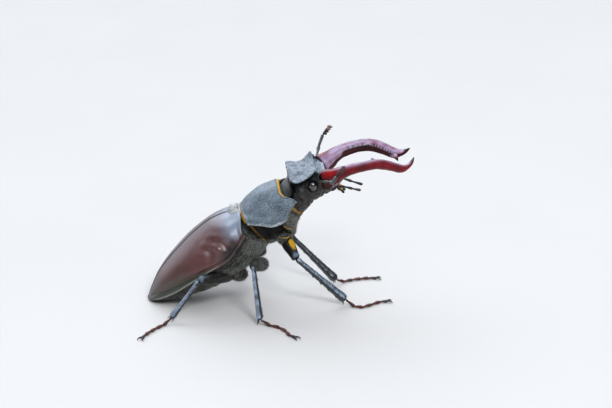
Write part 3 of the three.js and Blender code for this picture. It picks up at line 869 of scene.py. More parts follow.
@dataclass(frozen=True)
class Bristle:
    """Stiff hairs: a root colour that turns to a tip colour.

    Each hair turns toward the other colour by its own chance, up to the share vary.
    """

    name: str
    root: str
    tip: str
    other: str
    gloss: Pair = (0.37, 0.53)
    vary: float = 0.6
    sheen: float = 0.25
    sheen_gloss: float = 0.4

    def material(self) -> Material:
        """Builds the node tree.

        Returns:
            The finished material
        """
        graph = Graph(self.name)
        colour = graph.mix(graph.mark("tip"), tone(self.root), tone(self.tip))
        own = graph.sum("MULTIPLY", graph.mark("own"), self.vary)
        return graph.dress({"Base Color": graph.mix(own, colour, tone(self.other)),
                            "Roughness": graph.clouds(0.3, *self.gloss),
                            "Sheen Weight": self.sheen, "Sheen Roughness": self.sheen_gloss})


# Wing cases: of the tints, sheen is a painted reflection on the front, line a painted highlight on the
# margin's bead and deep painted shade along the lower front margin; olive, rim and suture are the cases'
# own darker tones.
WING_CASE = Horn(
    "wing_case_horn", "603a36", "56332f", mottle=8.0, tints=(("olive", "413c31"), ("sheen", "7c8896"),
    ("deep", "231514"), ("rim", "34372a"), ("suture", "1a1613"), ("line", "a3a5a0")), gloss=(0.28, 0.38),
    pit=0.2, pit_depth=0.006, pit_shade=0.12, grain=0.06, grain_depth=0.003, dust=0.2, specular=0.62)
# Collar and scutellum: the dark horn's own tone with a painted blue-grey sheen mixed into the colours; the
# rim tint is a painted highlight along the collar's side edges.
COLLAR = Horn(
    "collar_horn", "68757e", "566269", mottle=2.6, tints=(("rim", "ccd4d8"),), gloss=(0.42, 0.54),
    pit=0.3, pit_depth=0.06, pit_shade=0.6, speckle=0.42, grain=0.07, grain_depth=0.01, dust=0.3,
    specular=0.6)
# Head: the dark horn's own tone with a painted blue-grey sheen mixed into the colours. Of the tints, dark
# is painted shade, besides the dark corner tips, and pale a painted highlight on the front edge; neck and
# brown are its own tones.
CROWN = Horn(
    "head_horn", "7d878e", "626b72", mottle=1.3, tints=(("neck", "4a524f"), ("pale", "b4bcc2"),
    ("dark", "0e100f"), ("brown", "2c2418")), gloss=(0.38, 0.5), pit=0.38, pit_depth=0.08, pit_shade=0.6,
    speckle=0.34, grain=0.08, grain_depth=0.012, dust=0.15, specular=0.35, rubbed="neck")
# Painted shade: a near black, dull finish for the sheets under the head's side ridges.
PAINTED_SHADE_HORN = Horn(
    "painted_shade_horn", "050605", "090a08", mottle=1.0, gloss=(0.7, 0.8), pit_depth=0.01, dust=0.0,
    specular=0.1)
# Of the belly's tints, hollow is painted shade in the recess under the collar's side edge; seam is the
# seams' dark tone, which also paints shade on the hind thorax under the wing cases.
BELLY = Horn(
    "belly_horn", "45463d", "2e2f27", mottle=1.8, tints=(("seam", "0f0e0b"), ("hollow", "050504")),
    gloss=(0.5, 0.65), pit=0.28, pit_depth=0.03, pit_shade=0.3, grain=0.07, grain_depth=0.012, dust=0.5,
    specular=0.25)
# Jaws: of the tints, the mauve one is a painted sheen and highlight; dark holds the dark teeth and tips,
# and painted shade in the inner hollow and under the root knobs; red and brown are their own tones.
JAW = Horn(
    "jaw_horn", "7c0f1a", "5c0a13", mottle=3.4, tints=(("bloom", "a78ea6"), ("red", "ae1217"),
    ("brown", "3a1814"), ("dark", "100505")), gloss=(0.24, 0.32), pit=0.24, pit_depth=0.006,
    pit_shade=0.1, grain=0.05, grain_depth=0.002, dust=0.1, specular=0.2)
MOUTH = Horn("mouth_horn", "2a1812", "180e0b", mottle=0.8, gloss=(0.3, 0.42), pit_depth=0.01)
# Feelers: the black horn's own tone lightened to grey by a painted sheen.
FEELER = Horn("feeler_horn", "5c6361", "3a403f", mottle=0.8, gloss=(0.24, 0.34), pit_depth=0.006)
CLUB = Horn(
    "feeler_club_felt", "a58f84", "86756a", mottle=0.5, tints=(("dark", "1b1715"),), gloss=(0.65, 0.8),
    pit=0.08, pit_depth=0.01)
# Painted shade: a darker copy of the club's felt, for the right feeler.
CLUB_PAINTED_SHADE = Horn(
    "feeler_club_painted_shade", "6b4a46", "573a39", mottle=0.5, tints=(("dark", "3a2726"),), gloss=(0.6, 0.75),
    pit=0.08, pit_depth=0.01, specular=0.2)
# The lit tint of the thighs and shins is a painted highlight: on the knees and in a strip along each shin.
THIGH = Horn(
    "thigh_horn", "0d0e0f", "14110e", mottle=2.0, tints=(("brown", "1c150e"), ("lit", "8fa2b4")),
    gloss=(0.36, 0.5), pit=0.3, pit_depth=0.02, pit_shade=0.2, grain=0.06, grain_depth=0.005, dust=0.05,
    specular=0.16, coat=0.5)
SHIN = Horn(
    "shin_horn", "242b33", "191e24", mottle=1.6, tints=(("lit", "a3b6c8"),), gloss=(0.22, 0.32), pit=0.35,
    pit_depth=0.02, pit_shade=0.25, speckle=0.2, grain=0.06, grain_depth=0.004, dust=0.2, coat=0.2,
    specular=0.5)
FOOT = Horn(
    "foot_horn", "5e2a1e", "3a160e", mottle=0.9, tints=(("dark", "0c0908"),), gloss=(0.26, 0.38),
    pit_depth=0.008)
GOLD = Bristle("golden_bristle", "ffb008", "ffd414", "ffc40a")
# Painted shade: a darker copy of the golden hair, for the fringes on the collar's underside.
GOLD_IN_PAINTED_SHADE = Bristle("breast_bristle", "a87412", "d09a2c", "bc8620")
PALE = Bristle("pale_bristle", "e4e0d6", "fdfcf8", "f4f1ea")
OLIVE = Bristle("body_bristle", "5c5d52", "d6d7ca", "4a4b41", vary=1.0)
SPINE = Bristle("leg_bristle", "2a1a12", "6b4a2c", "3a2a1c")


# ---- wing cases and scutellum


@dataclass
class WingCases:
    """The two hard wing cases, each half an oval across with a raised rim along its side.

    The profiles run ahead from the tail. From sweep_from on the sides of the front lie up to
    sweep behind its middle, and fold_in draws the fold under the margin inward.
    """

    length: float = 31.5
    gap: float = 0.2
    thick: float = 0.45
    edge: float = 0.2
    roundness: float = 0.92
    sweep: float = 2.3
    sweep_from: float = 20.0
    fold_in: float = 0.5
    half_width: Profile = Profile(
        [0, 0.2], [0.45, 1.9], [2.7, 4.1], [6.3, 6.3], [10.4, 8.0], [14.6, 9.1], [20, 9.5], [28, 9.1],
        [31.5, 8.2])
    crest: Profile = Profile(
        [0, -0.3], [2.6, 0.9], [6.7, 2.54], [11.5, 3.43], [18, 3.9], [24, 3.4], [27.2, 2.45], [29.4, 1.4],
        [31.5, 0.2])
    margin: Profile = Profile(
        [0, -0.35], [3.6, -1.4], [7.8, -2.15], [12.2, -2.5], [16.6, -3.1], [22.8, -4.3], [29.3, -3.6],
        [31.5, -3.1])
    fold: Profile = Profile([0, 0.05], [3, 0.4], [9, 0.5], [22, 0.7], [31.5, 0.5])
    groove: Profile = Profile([0, 0.9], [5, 1.5], [11, 1.15], [18, 0.55], [31.5, 0.36])
    notch: Profile = Profile([28.9, 0.0], [29.5, 0.5], [30.4, 1.1], [31.5, 1.5])

    def skin(self) -> tuple[Array, Marks]:
        """The left case's outer skin, from the fold under its margin up to the middle line.

        Across, the height is the sine and the width the cosine of a quarter turn. A bead and a
        groove follow the margin, a finer pair the middle line, and soft dents lie on the flank.

        Returns:
            The grid in millimetres and the marks on it.
        """
        x = (self.length * edged(240, self.length, 0.4, 7) ** 1.15)[:, None]
        turn = edged(130, 14.0, 0.3, 7)[None] * math.pi / 2
        under = np.linspace(1, 0, 12, endpoint=False)[None]
        out, up = (signed_power(f(turn), self.roundness) for f in (np.cos, np.sin))
        wide, low = self.half_width(x), self.margin(x)
        middle = np.minimum(self.gap / 2 + self.notch(x), 0.9 * wide)
        y = np.concatenate([wide - self.fold_in * under**2, middle + (wide - middle) * out], 1)
        z = np.concatenate([low - self.fold(x) * under, low + (self.crest(x) - low) * up], 1)
        swept = self.sweep * ramp(x, self.sweep_from, self.length)
        ahead = np.concatenate([x - swept + 0 * under, x - swept * out**3], 1)
        grid = np.stack([ahead, y, z], -1)
        run = distances(grid, 1)
        run -= run[:, under.size:under.size + 1]
        angle = np.concatenate([0 * under, turn], 1)
        return self.worked(x, angle, grid, run, run[:, -1:] - run)

    def worked(self, x: Array, angle: Array, grid: Array, run: Array, to_middle: Array
               ) -> tuple[Array, Marks]:
        """Raises the skin's bead, grooves and dents, and marks its colours, painted light among them.

        Args:
            x: places along, shape (n, 1).
            angle: turns up from the margin, shape (1, m).
            grid: the smooth skin, shape (n, m, 3).
            run: distances from the margin, shape (n, m).
            to_middle: distances from the middle line, shape (n, m).

        Returns:
            The grid in millimetres and the marks on it.
        """
        rim = self.groove(x)
        present = ramp(x, 0.4, 3.0)
        height = 0.2 * bell(run, 0.1 * rim, 0.5 * rim) - 0.26 * bell(run, 1.15 * rim, 0.45 * rim)
        height += 0.05 * bell(to_middle, 0.2, 0.15) - 0.05 * bell(to_middle, 0.5, 0.2)
        height *= present
        height += 0.38 * bell(x, 28.4, 1.7) * bell(angle, 0.62, 0.3)
        height -= 0.16 * bell(x, 29.4, 1.4) * bell(angle, 1.08, 0.16)
        flank = bell(x, 23.5, 4.6) * bell(angle, 0.52, 0.36)
        height += 0.2 * flank * swell(grid, 3.0, 5) + 0.05 * ramp(run, 1.0, 4.0) * swell(grid, 11.0, 8)
        lip = 0.1 * bell(x, self.length - 0.4, 0.34) - 0.05 * bell(x, self.length - 1.2, 0.4)
        height += lip * ramp(to_middle, 0.6, 2.0)
        grid = raised(grid, height * ramp(x, 0.0, 1.0), wrap=False)
        near_suture = 0.6 * fade(to_middle, 0.4, 3.4) * fade(x, 27, 30)
        # Painted highlight: a thin pale line on the margin's bead.
        painted_bead_highlight = bell(run, 0.1 * rim, 0.07 + 0.05 * rim)
        olive_up_to = 6.0 + 5 * fade(x, 4, 9)
        # Painted reflection: the sheen tint pales the front of the case above its margin.
        painted_sheen_from = 1.2 + 3.3 * fade(x, 27, 30)
        return grid, {
            "rim": fade(run, 0.8 * rim, 1.35 * rim) * (1 - 0.7 * ramp(x, 15, 20)),
            "olive": 0.8 * fade(x, 8, 17) * fade(run, 1.5, olive_up_to),
            "line": 0.8 * present * (1 - 0.8 * ramp(x, 18.5, 21)) * painted_bead_highlight,
            "suture": np.maximum(fade(to_middle, 0.1, 0.34), near_suture),
            "sheen": 0.85 * ramp(x, 24.5, 29.5) * ramp(run, 0.6, painted_sheen_from),
            # Painted shade along the lower front margin, weaker at the very front.
            "deep": ramp(x, 19, 24) * fade(run, 1.3, 3.2) * (1 - 0.7 * ramp(x, 27.5, 30)),
        }

    def make(self) -> None:
        """Builds and dresses both cases."""
        finish = WING_CASE.material()
        grid, marks = self.skin()
        for side in Side:
            patch = thick_sheet(HIND_BODY, grid * side.flip, self.thick, self.edge, marks, open_end=True)
            build(f"wing_case_{side.word}", [patch], finish, "wing_case", f"elytron_{side.word}")


@dataclass
class Scutellum:
    """The small three-cornered shield between the wing cases' fronts."""

    back: float = 28.9
    front: float = 31.6
    half_width: float = 1.45
    thick: float = 0.8

    def make(self) -> None:
        """Builds the shield: across it is domed, and its sides bow out toward the front."""
        x = np.linspace(self.back, self.front, 60)[:, None]
        share = (x - self.back) / (self.front - self.back)
        wide = self.half_width * np.sin(share * math.pi / 2) ** 0.8 + 0.02
        v = np.linspace(-1, 1, 60)[None]
        top = 1.35 + 0.35 * (1 - share) - 0.55 * share**2
        z = top - 0.35 * v**2 - 0.1 * bell(share, 0.35, 0.2) * (1 - v**2)
        grid = np.stack([x + 0 * v, wide * v, z], -1)
        patch = thick_sheet(HIND_BODY, grid, self.thick, 0.25)
        build("scutellum_plate", [patch], COLLAR.material(), "collar_plate", "scutellum")


# ---- prothorax


@dataclass
class Collar:
    """The pronotum: an arched plate with a bead along all its edges.

    Each of dents is a furrow on both sides: its depth, its turn from the middle, its half
    width, its place along and its half length, the last two as shares of the plate's length.
    """

    length: float = 10.8
    thick: float = 0.5
    edge: float = 0.16
    front_hollow: float = 1.3
    front_corner: float = 3.0
    hind_curve: float = 0.2
    fold_in: float = 1.3
    half_width: Profile = Profile([0, 6.2], [0.2, 7.4], [0.45, 8.0], [0.75, 7.8], [1, 7.0])
    crest: Profile = Profile([0, 0], [0.25, 1.0], [0.55, 1.4], [1, 0.24])
    drop: Profile = Profile(
        [0, 2.2], [0.2, 4.6], [0.42, 7.0], [0.6, 7.5], [0.78, 5.75], [0.9, 4.8], [1, 4.14])
    dents: Knots = (
        (0.1, 0, 0.05, 0.5, 0.3), (0.1, 0.62, 0.05, 0.52, 0.05), (0.14, 1.0, 0.16, 0.62, 0.12))

    def line(self, s: Array, turn: Array) -> Array:
        """Points of the plate: sine across, one less cosine down, between a curved hind edge
        and a front edge that is hollow in the middle and juts at its corners.

        Args:
            s: places from the hind edge to the front edge, shape (n, 1).
            turn: turns from the middle, shape (1, m), in radians, positive to the left.

        Returns:
            The grid, shape (n, m, 3), millimetres.
        """
        out = np.sin(turn)
        front = self.length - self.front_hollow * out**2 + self.front_corner * out**8
        hind = self.hind_curve * out**2
        up = self.crest(s) - self.drop(s) * (1 - np.cos(turn))
        return np.stack([hind + (front - hind) * s, self.half_width(s) * out, up], -1)

    def make(self) -> None:
        """Builds and dresses the plate, with a painted highlight along its side edges."""
        s = edged(130, self.length, 0.3, 7)[:, None]
        turn = (edged(190, 22.0, 0.3, 7)[None] - 0.5) * math.pi
        grid = self.line(s, turn)
        fold = np.linspace(1, 0, 9, endpoint=False)[None]
        left, right = grid[:, -1:], grid[:, :1]
        inward = np.stack([0 * fold, -self.fold_in * fold, -0.5 * np.sin(fold * math.pi / 2)], -1)
        grid = np.concatenate([right + inward * [1, -1, 1], grid, left + inward[:, ::-1]], 1)
        run, folds = distances(grid, 1), fold.size
        side = np.minimum(run - run[:, folds:folds + 1], run[:, -folds - 1:-folds] - run)
        ends = np.minimum(s, 1 - s) * self.length
        height = 0.13 * bell(side, 0.12, 0.2) - 0.1 * bell(side, 0.55, 0.25)
        height += 0.1 * bell(ends, 0.2, 0.16) - 0.08 * bell(ends, 0.55, 0.22)
        angle = np.concatenate([0 * fold - 2, turn, 0 * fold + 2], 1)
        for deep, at, wide, along, long in self.dents:
            height -= deep * bell(np.abs(angle), at, wide) * bell(s, along, long)
        height += 0.5 * fade(side, 0.0, 2.8) - 0.14 * bell(side, 3.0, 1.0)
        height += 0.05 * swell(grid, 5.0, 21) * ramp(side, 0.5, 2.0)
        # Painted highlight: near white on the side edges' bead and the fold under them, on the hind part.
        pale = 0.85 * fade(side, 0.05, 0.17) * fade(s, 0.5, 0.7)
        grid = raised(grid, height, wrap=False)
        patch = thick_sheet(PROTHORAX, grid, self.thick, self.edge, {"rim": pale})
        build("collar_plate", [patch], COLLAR.material(), "collar_plate", "pronotum")


# ---- underside


@dataclass
class Belly:
    """The trunk under the wing cases: overlapping belly rings and the hind thorax.

    abdomen and thorax each say where the part starts, counted from the tail, and its length.
    """

    cases: WingCases
    abdomen: Pair = (0.95, 16.55)
    thorax: Pair = (17.3, 13.7)
    clear: float = 0.85
    line: Profile = Profile(
        [1, -1.4], [3, -2.9], [6, -4.9], [10, -7.1], [15, -9.2], [20, -10.6], [26, -10.9], [31.5, -10.4])
    rings: tuple[float, ...] = (0.8, 3.2, 5.8, 8.6, 11.6, 14.6, 17.9)
    overlap: float = 0.28

    def skin(self, x: Array, turn: Array) -> Array:
        """The trunk's skin: half an oval above the cases' margin and half a deeper one below.

        Args:
            x: places from the tail ahead, shape (n, 1).
            turn: turns from the left side over the top, shape (1, m).

        Returns:
            The grid, shape (n, m, 3), millimetres.
        """
        wide = np.maximum(0.5, self.cases.half_width(x) - self.clear)
        wide = wide * (1 - 0.22 * ramp(x, 28, 31.5))
        low = self.cases.margin(x) - 0.15
        rise = np.maximum(0.15, self.cases.crest(x) - low - self.clear)
        depth = low - self.line(x)
        high = np.sin(turn)
        up = np.where(high > 0, rise * high, depth * signed_power(high, 0.85))
        swept = 2.2 * ramp(x, 24, 31.5) * np.abs(np.cos(turn)) ** 3
        return np.stack([x - swept, wide * signed_power(np.cos(turn), 0.9) + 0 * x, low + up], -1)

    def make(self) -> None:
        """Builds the abdomen and the hind thorax."""
        finish, turn = BELLY.material(), ring_turns(150)
        below = ramp(-np.sin(turn), 0.0, 0.25)
        build("abdomen_rings", [self.plates(turn, below)], finish, "underside", "abdomen")
        build("hind_thorax", [self.trunk(turn, below)], finish, "underside", "pterothorax")

    def plates(self, turn: Array, below: Array) -> Patch:
        """The abdomen, whose plates overlap toward the tail.

        Args:
            turn: turns from the left side over the top, shape (1, m).
            below: 1 underneath and 0 above, shape (1, m).

        Returns:
            The patch.
        """
        start, length = self.abdomen
        x = (start + length * edged(230, 16.0, 0.3, 5))[:, None]
        grid = self.skin(x, turn)
        edges = np.array(self.rings)
        k = np.clip(np.searchsorted(edges, x, side="right") - 1, 0, len(edges) - 2)
        share = (x - edges[k]) / (edges[k + 1] - edges[k])
        step = (1 - share) ** 1.3 * ramp(share, 0.0, 0.05)
        height = self.overlap * step * below - 0.12 * bell(share, 1.0, 0.06) * below
        height = height * ramp(x, start, 3.0) + 0.04 * swell(grid, 2.6, 31)
        height += 0.16 * below * bell(np.cos(turn), 0.93, 0.05) * bell(share, 0.45, 0.3)
        seam = np.clip(1 - ramp(share, 0.0, 0.05) + ramp(share, 0.93, 1.0), 0, 1) * below
        return closed_grid(HIND_BODY, raised(grid, height), {"seam": seam})

    def trunk(self, turn: Array, below: Array) -> Patch:
        """The hind thorax, with slanting and cross seams, a furrow along its middle and painted shade on
        its top and sides under the wing cases.

        Args:
            turn: turns from the left side over the top, shape (1, m).
            below: 1 underneath and 0 above, shape (1, m).

        Returns:
            The patch.
        """
        mid = np.abs(np.cos(turn))
        start, length = self.thorax
        x = (start + length * edged(190, 13.0, 0.4, 6))[:, None]
        grid = self.skin(x, turn)
        slant, across = x - start - 5.5 * mid, x - 24.2 - 1.5 * mid
        height = -0.2 * bell(slant, 3.5, 0.28) * below - 0.22 * bell(across, 0, 0.3) * below
        height -= 0.2 * bell(np.cos(turn), 0, 0.04) * below * bell(x, 22, 3.0)
        height += 0.05 * swell(grid, 3.2, 33)
        seam = np.clip(bell(slant, 3.5, 0.2) + bell(across, 0, 0.22), 0, 1) * below
        # Painted shade: the top and sides of the rear part, under the wing cases, take the seams' dark
        # tone.
        seam = np.maximum(seam, 0.6 * fade(-np.sin(turn), 0.3, 0.6) * fade(x, 26.5, 29))
        return closed_grid(HIND_BODY, raised(grid, height), {"seam": seam})


@dataclass
class CollarUnderside:
    """The underside of the prothorax, which fills the collar and carries the front legs."""

    collar: Collar
    clear: float = 0.6
    depth: Profile = Profile([0, 9.2], [0.3, 7.6], [0.6, 6.5], [0.8, 5.9], [1, 5.6])

    def skin(self, s: Array, turn: Array) -> Array:
        """Half an oval above the collar's side edge and half a deeper one below.

        Args:
            s: places from the hind end to the front end, shape (n, 1).
            turn: turns from the left side over the top, shape (1, m).

        Returns:
            The grid, shape (n, m, 3), millimetres.
        """
        wide = self.collar.half_width(s) - self.clear
        level = self.collar.crest(s) - self.collar.drop(s)
        high = np.sin(turn)
        low = np.maximum(0, -high)
        rise = self.collar.drop(s) - self.clear
        up = np.where(high > 0, rise * high, self.depth(s) * signed_power(high, 0.85))
        hind, front = 0.1 + 0.5 * low, 10.2 + 1.2 * low
        return np.stack([hind + (front - hind) * s, wide * np.cos(turn), level + up], -1)

    def make(self) -> None:
        """Builds the piece, with a lip along its front, a furrow before the front hips and a recess under
        the collar's side edge, marked with painted shade.
        """
        s = edged(130, 10.0, 0.5, 7)[:, None]
        turn = ring_turns(140)
        grid = self.skin(s, turn)
        below = ramp(-np.sin(turn), -0.1, 0.3)
        height = 0.2 * bell(s, 0.97, 0.03) - 0.2 * bell(s, 0.88, 0.04)
        height = below * (height - 0.25 * bell(s, 0.52, 0.04) + 0.15 * bell(s, 0.6, 0.05))
        height += 0.05 * swell(grid, 2.4, 41)
        aside = np.abs(turn - 1.5 * math.pi)
        # Painted shade: the recess under the collar's side edge is also marked near black.
        hollow = ramp(aside, 0.6, 1.0) * fade(aside, 1.55, 1.7) * fade(s, 0.5, 0.75)
        height -= 1.3 * hollow * ramp(s, 0.0, 0.12)
        seam = below * np.clip(bell(s, 0.88, 0.025) + bell(s, 0.52, 0.03), 0, 1)
        marks = {"seam": seam, "hollow": np.clip(2 * hollow, 0, 1)}
        piece = closed_grid(PROTHORAX, raised(grid, height), marks)
        build("collar_underside", [piece], BELLY.material(), "underside", "prosternum")


# ---- head


@dataclass
class Eyes:
    """The two small compound eyes on the sides of the head."""

    at: Floats = (6.9, 6.75, 2.5)
    half_sizes: Floats = (1.05, 1.05, 1.18)

    def make(self) -> None:
        """Builds both as ellipsoids whose poles point to the side."""
        finish = Facets().material()
        axes, sizes = np.roll(np.eye(3), 1, axis=1), np.roll(self.half_sizes, -1)
        for side in Side:
            patch = closed_grid(HEAD, orb(self.at * side.flip, sizes, axes, 64, 96))
            build(f"compound_eye_{side.word}", [patch], finish, "eye", f"eye_{side.word}")


@dataclass
class HeadCapsule:
    """The head: a broad rough crown whose raised, scalloped sides overhang hollow cheeks.

    The profiles run along the head. recess and drop say how far the hollow under the side
    ridge goes in and down; the painted shade sheet in it reaches from the point hollow_start
    of each ring to hollow_end.
    """

    eyes: Eyes
    crown: Profile = Profile(
        [-2, 1.6], [0.9, 3.0], [1.7, 3.5], [2.35, 6.0], [3.3, 5.85], [5, 5.25], [7, 4.95], [8.4, 4.85],
        [9.1, 4.7], [9.4, 4.35], [10.1, 4.25], [10.8, 3.8])
    ridge_out: Profile = Profile(
        [-2, 5.0], [0.8, 5.9], [1.7, 6.4], [2.2, 6.9], [2.6, 7.45], [3.5, 7.95], [4.3, 7.7], [5.2, 7.2],
        [6.4, 7.0], [7.6, 7.1], [8.5, 7.3], [9.1, 6.95], [9.9, 6.3], [10.8, 5.4])
    ridge_up: Profile = Profile(
        [-2, 0.2], [0.9, 1.6], [1.7, 2.2], [2.4, 5.45], [3.0, 5.2], [3.8, 4.85], [4.9, 4.7], [6.4, 4.95],
        [7.6, 5.4], [8.5, 5.9], [8.85, 5.65], [9.25, 4.95], [10.0, 4.55], [10.8, 4.15])
    recess: Profile = Profile(
        [-2, 0.05], [1.7, 0.2], [2.4, 1.6], [3.6, 2.1], [5, 1.5], [6.4, 0.8], [8.4, 0.6], [9.4, 0.2],
        [10.8, 0.1])
    drop: Profile = Profile(
        [-2, 0.5], [1.7, 0.6], [2.4, 1.3], [3.6, 1.6], [6.4, 1.2], [8.4, 1.4], [10.8, 0.8])
    cheek_out: Profile = Profile(
        [-2, 5.2], [0.8, 5.9], [2.4, 6.3], [3.9, 6.6], [5.8, 6.8], [7.5, 6.9], [9.1, 6.6], [9.9, 5.9],
        [10.8, 4.4])
    cheek_up: Profile = Profile([-2, -1.3], [1, -1.0], [4, 1.2], [7, 2.0], [9, 2.2], [10.8, 1.2])
    under: Profile = Profile(
        [-2, -3.7], [1.4, -4.1], [2.8, -4.1], [4.2, -3.6], [6.3, -2.2], [9, -1.7], [10.8, -1])
    per_span: int = 11
    hollow_start: float = 47
    hollow_end: Profile = Profile([1, 70], [2.6, 72], [3.4, 65], [8, 62])

    def lines(self, f: Array) -> Array:
        """The left half's lines, from the crown over the side ridge to the keel underneath.

        Args:
            f: stations ahead, shape (n,).

        Returns:
            Shape (n, 11, 6): ahead, out, up and the marks dark (painted shade), brown and neck.
        """
        crown, out, up = self.crown(f), self.ridge_out(f), self.ridge_up(f)
        low, cheek, level = self.under(f), self.cheek_out(f), self.cheek_up(f)
        body = ramp(f, 1.7, 2.3)
        # In each row the third value is painted shade: a little on the ridge's edge, full under it, on the
        # cheek and under the head; the fourth is brown.
        rows = (
            (0, crown, 0, 0),
            (0.34 * out, crown + 0.05 * (up - crown), 0, 0),
            (0.66 * out, crown + 0.35 * (up - crown) - 0.25 * body, 0, 0),
            (out - 0.4, up + 0.06, 0, 0),
            (out, up - 0.1, 0.1, 0),
            (out - 0.2, up - 0.45, 0.95, 0),
            (out - self.recess(f), up - self.drop(f), 1, 0),
            (cheek, level, 0.88, 0.4),
            (0.86 * cheek, low + 0.35 * (level - low), 0.9, 0.7),
            (0.44 * cheek, low, 0.95, 0.5),
            (0, low, 0.95, 0.5),
        )
        made = np.stack([np.stack([np.broadcast_to(v, f.shape) for v in (f, *row)], -1)
                         for row in rows], 1)
        neck = np.broadcast_to((1 - body)[:, None], made.shape[:2])
        made[..., 3:] *= ramp(f, 0.7, 1.3)[:, None, None]
        made[:, :4, 3:] *= body[:, None, None]
        # Painted shade on the top rows between the neck and the crest.
        made[:, :4, 3] = 0.85 * (ramp(f, 0.9, 1.5) * fade(f, 2.15, 2.4))[:, None]
        return np.concatenate([made, neck[..., None]], -1)

    def make(self) -> None:
        """Builds and dresses the capsule, whose rings stand closest where the neck ends."""
        f = np.concatenate([np.linspace(-2, 1.6, 26, endpoint=False),
                            np.linspace(1.6, 2.7, 42, endpoint=False), np.linspace(2.7, 10.8, 170)])
        rings = ring_through(self.lines(f), self.per_span)
        grid, marks = self.worked(rings)
        build("head_capsule", [closed_grid(HEAD, grid, marks)], CROWN.material(),
              "head_plate", "head")
        self.painted_shade_sheets(grid, f)

    def worked(self, rings: Array) -> tuple[Array, Marks]:
        """Raises the rims, brows and recesses along the normals, and marks the colours: painted shade and
        a painted highlight.

        Args:
            rings: ahead, out, up and the marks dark, brown and neck, shape (n, m, 6).

        Returns:
            The grid in millimetres and the marks on it.
        """
        grid = rings[..., :3]
        ahead, out, up = grid[..., 0], np.abs(grid[..., 1]), grid[..., 2]
        sizes = self.eyes.half_sizes
        away = np.hypot((ahead - self.eyes.at[0]) / sizes[0], (up - self.eyes.at[2]) / sizes[2])
        beside = ramp(out, 5.0, 6.0) * fade(up, 4.2, 4.8)
        height = beside * (0.22 * bell(away, 1.34, 0.18) - 0.22 * bell(away, 1.0, 0.2))
        height += 0.3 * bell(ahead, 8.75, 0.3) * beside * ramp(up, 0.2, 1.0)
        height -= 0.35 * bell(ahead, 9.35, 0.25) * ramp(out, 4.0, 5.5)
        above = ramp(up, 3.2, 4.2)
        height += 0.16 * bell(ahead, 2.6, 0.28) * above
        height += above * (0.2 * bell(ahead, 8.7, 0.25) - 0.34 * bell(ahead, 9.25, 0.2))
        height -= above * 0.35 * bell(ahead, 6.2, 1.6) * bell(out, 0, 3.2)
        height += above * 0.2 * bell(ahead, 6.6, 1.0) * bell(out, 4.2, 1.0)
        body = ramp(ahead, 2.0, 3.0)
        height += 0.1 * body * (1 - above) * swell(grid, 1.7, 55)
        height += body * (0.07 * swell(grid, 2.2, 51) + 0.03 * swell(grid, 0.9, 52))
        grid = raised(grid, height)
        # Painted shade round the eye sockets, in a band on the neck and on the crown's rear wall; the
        # corner tips are dark in their own colour.
        rear = ramp(-grid_normals(grid)[..., 0], 0.7, 0.9)
        dark = rings[..., 3] + beside * bell(away, 1.0, 0.24)
        dark += bell(ahead, 2.45, 0.3) * ramp(out, 6.6, 7.1) + bell(ahead, 8.5, 0.25) * ramp(out, 7, 7.3)
        dark += 0.9 * ramp(ahead, 0.2, 0.9) * fade(ahead, 1.8, 2.1)
        dark += 0.85 * rear * ramp(ahead, 1.7, 1.9) * fade(ahead, 2.6, 3.0)
        # pale is a painted highlight on the crown's front edge.
        return grid, {"dark": np.clip(dark, 0, 1), "brown": rings[..., 4],
                      "neck": rings[..., 5], "pale": 0.8 * above * ramp(ahead, 10.1, 10.5)}

    def painted_shade_sheets(self, grid: Array, f: Array) -> None:
        """Painted shade: a dull black sheet in the hollow under each side ridge, a hair's breadth off the
        skin.

        Args:
            grid: the capsule's rings, millimetres.
            f: the stations ahead of the rings.
        """
        f = f[(f > 1.0) & (f < 8.0)]
        grid = grid[-len(f) - np.sum(grid[:, 0, 0] >= 8.0):][:len(f)]
        share = np.linspace(0, 1, 26)[None]
        start = self.hollow_start
        column = start + (self.hollow_end(f)[:, None] - start) * share
        sheets = []
        for place in (column, grid.shape[1] - column[:, ::-1]):
            first = np.floor(place).astype(int)
            row = np.arange(len(f))[:, None]
            near, far = grid[row, first], grid[row, first + 1]
            band = near + (far - near) * (place - first)[..., None]
            band = raised(band, np.array(0.05), wrap=False)
            sheets.append(thick_sheet(HEAD, band, 0.25, 0.15))
        build("head_painted_shade_sheets", sheets, PAINTED_SHADE_HORN.material(), "head_plate")


# ---- jaws


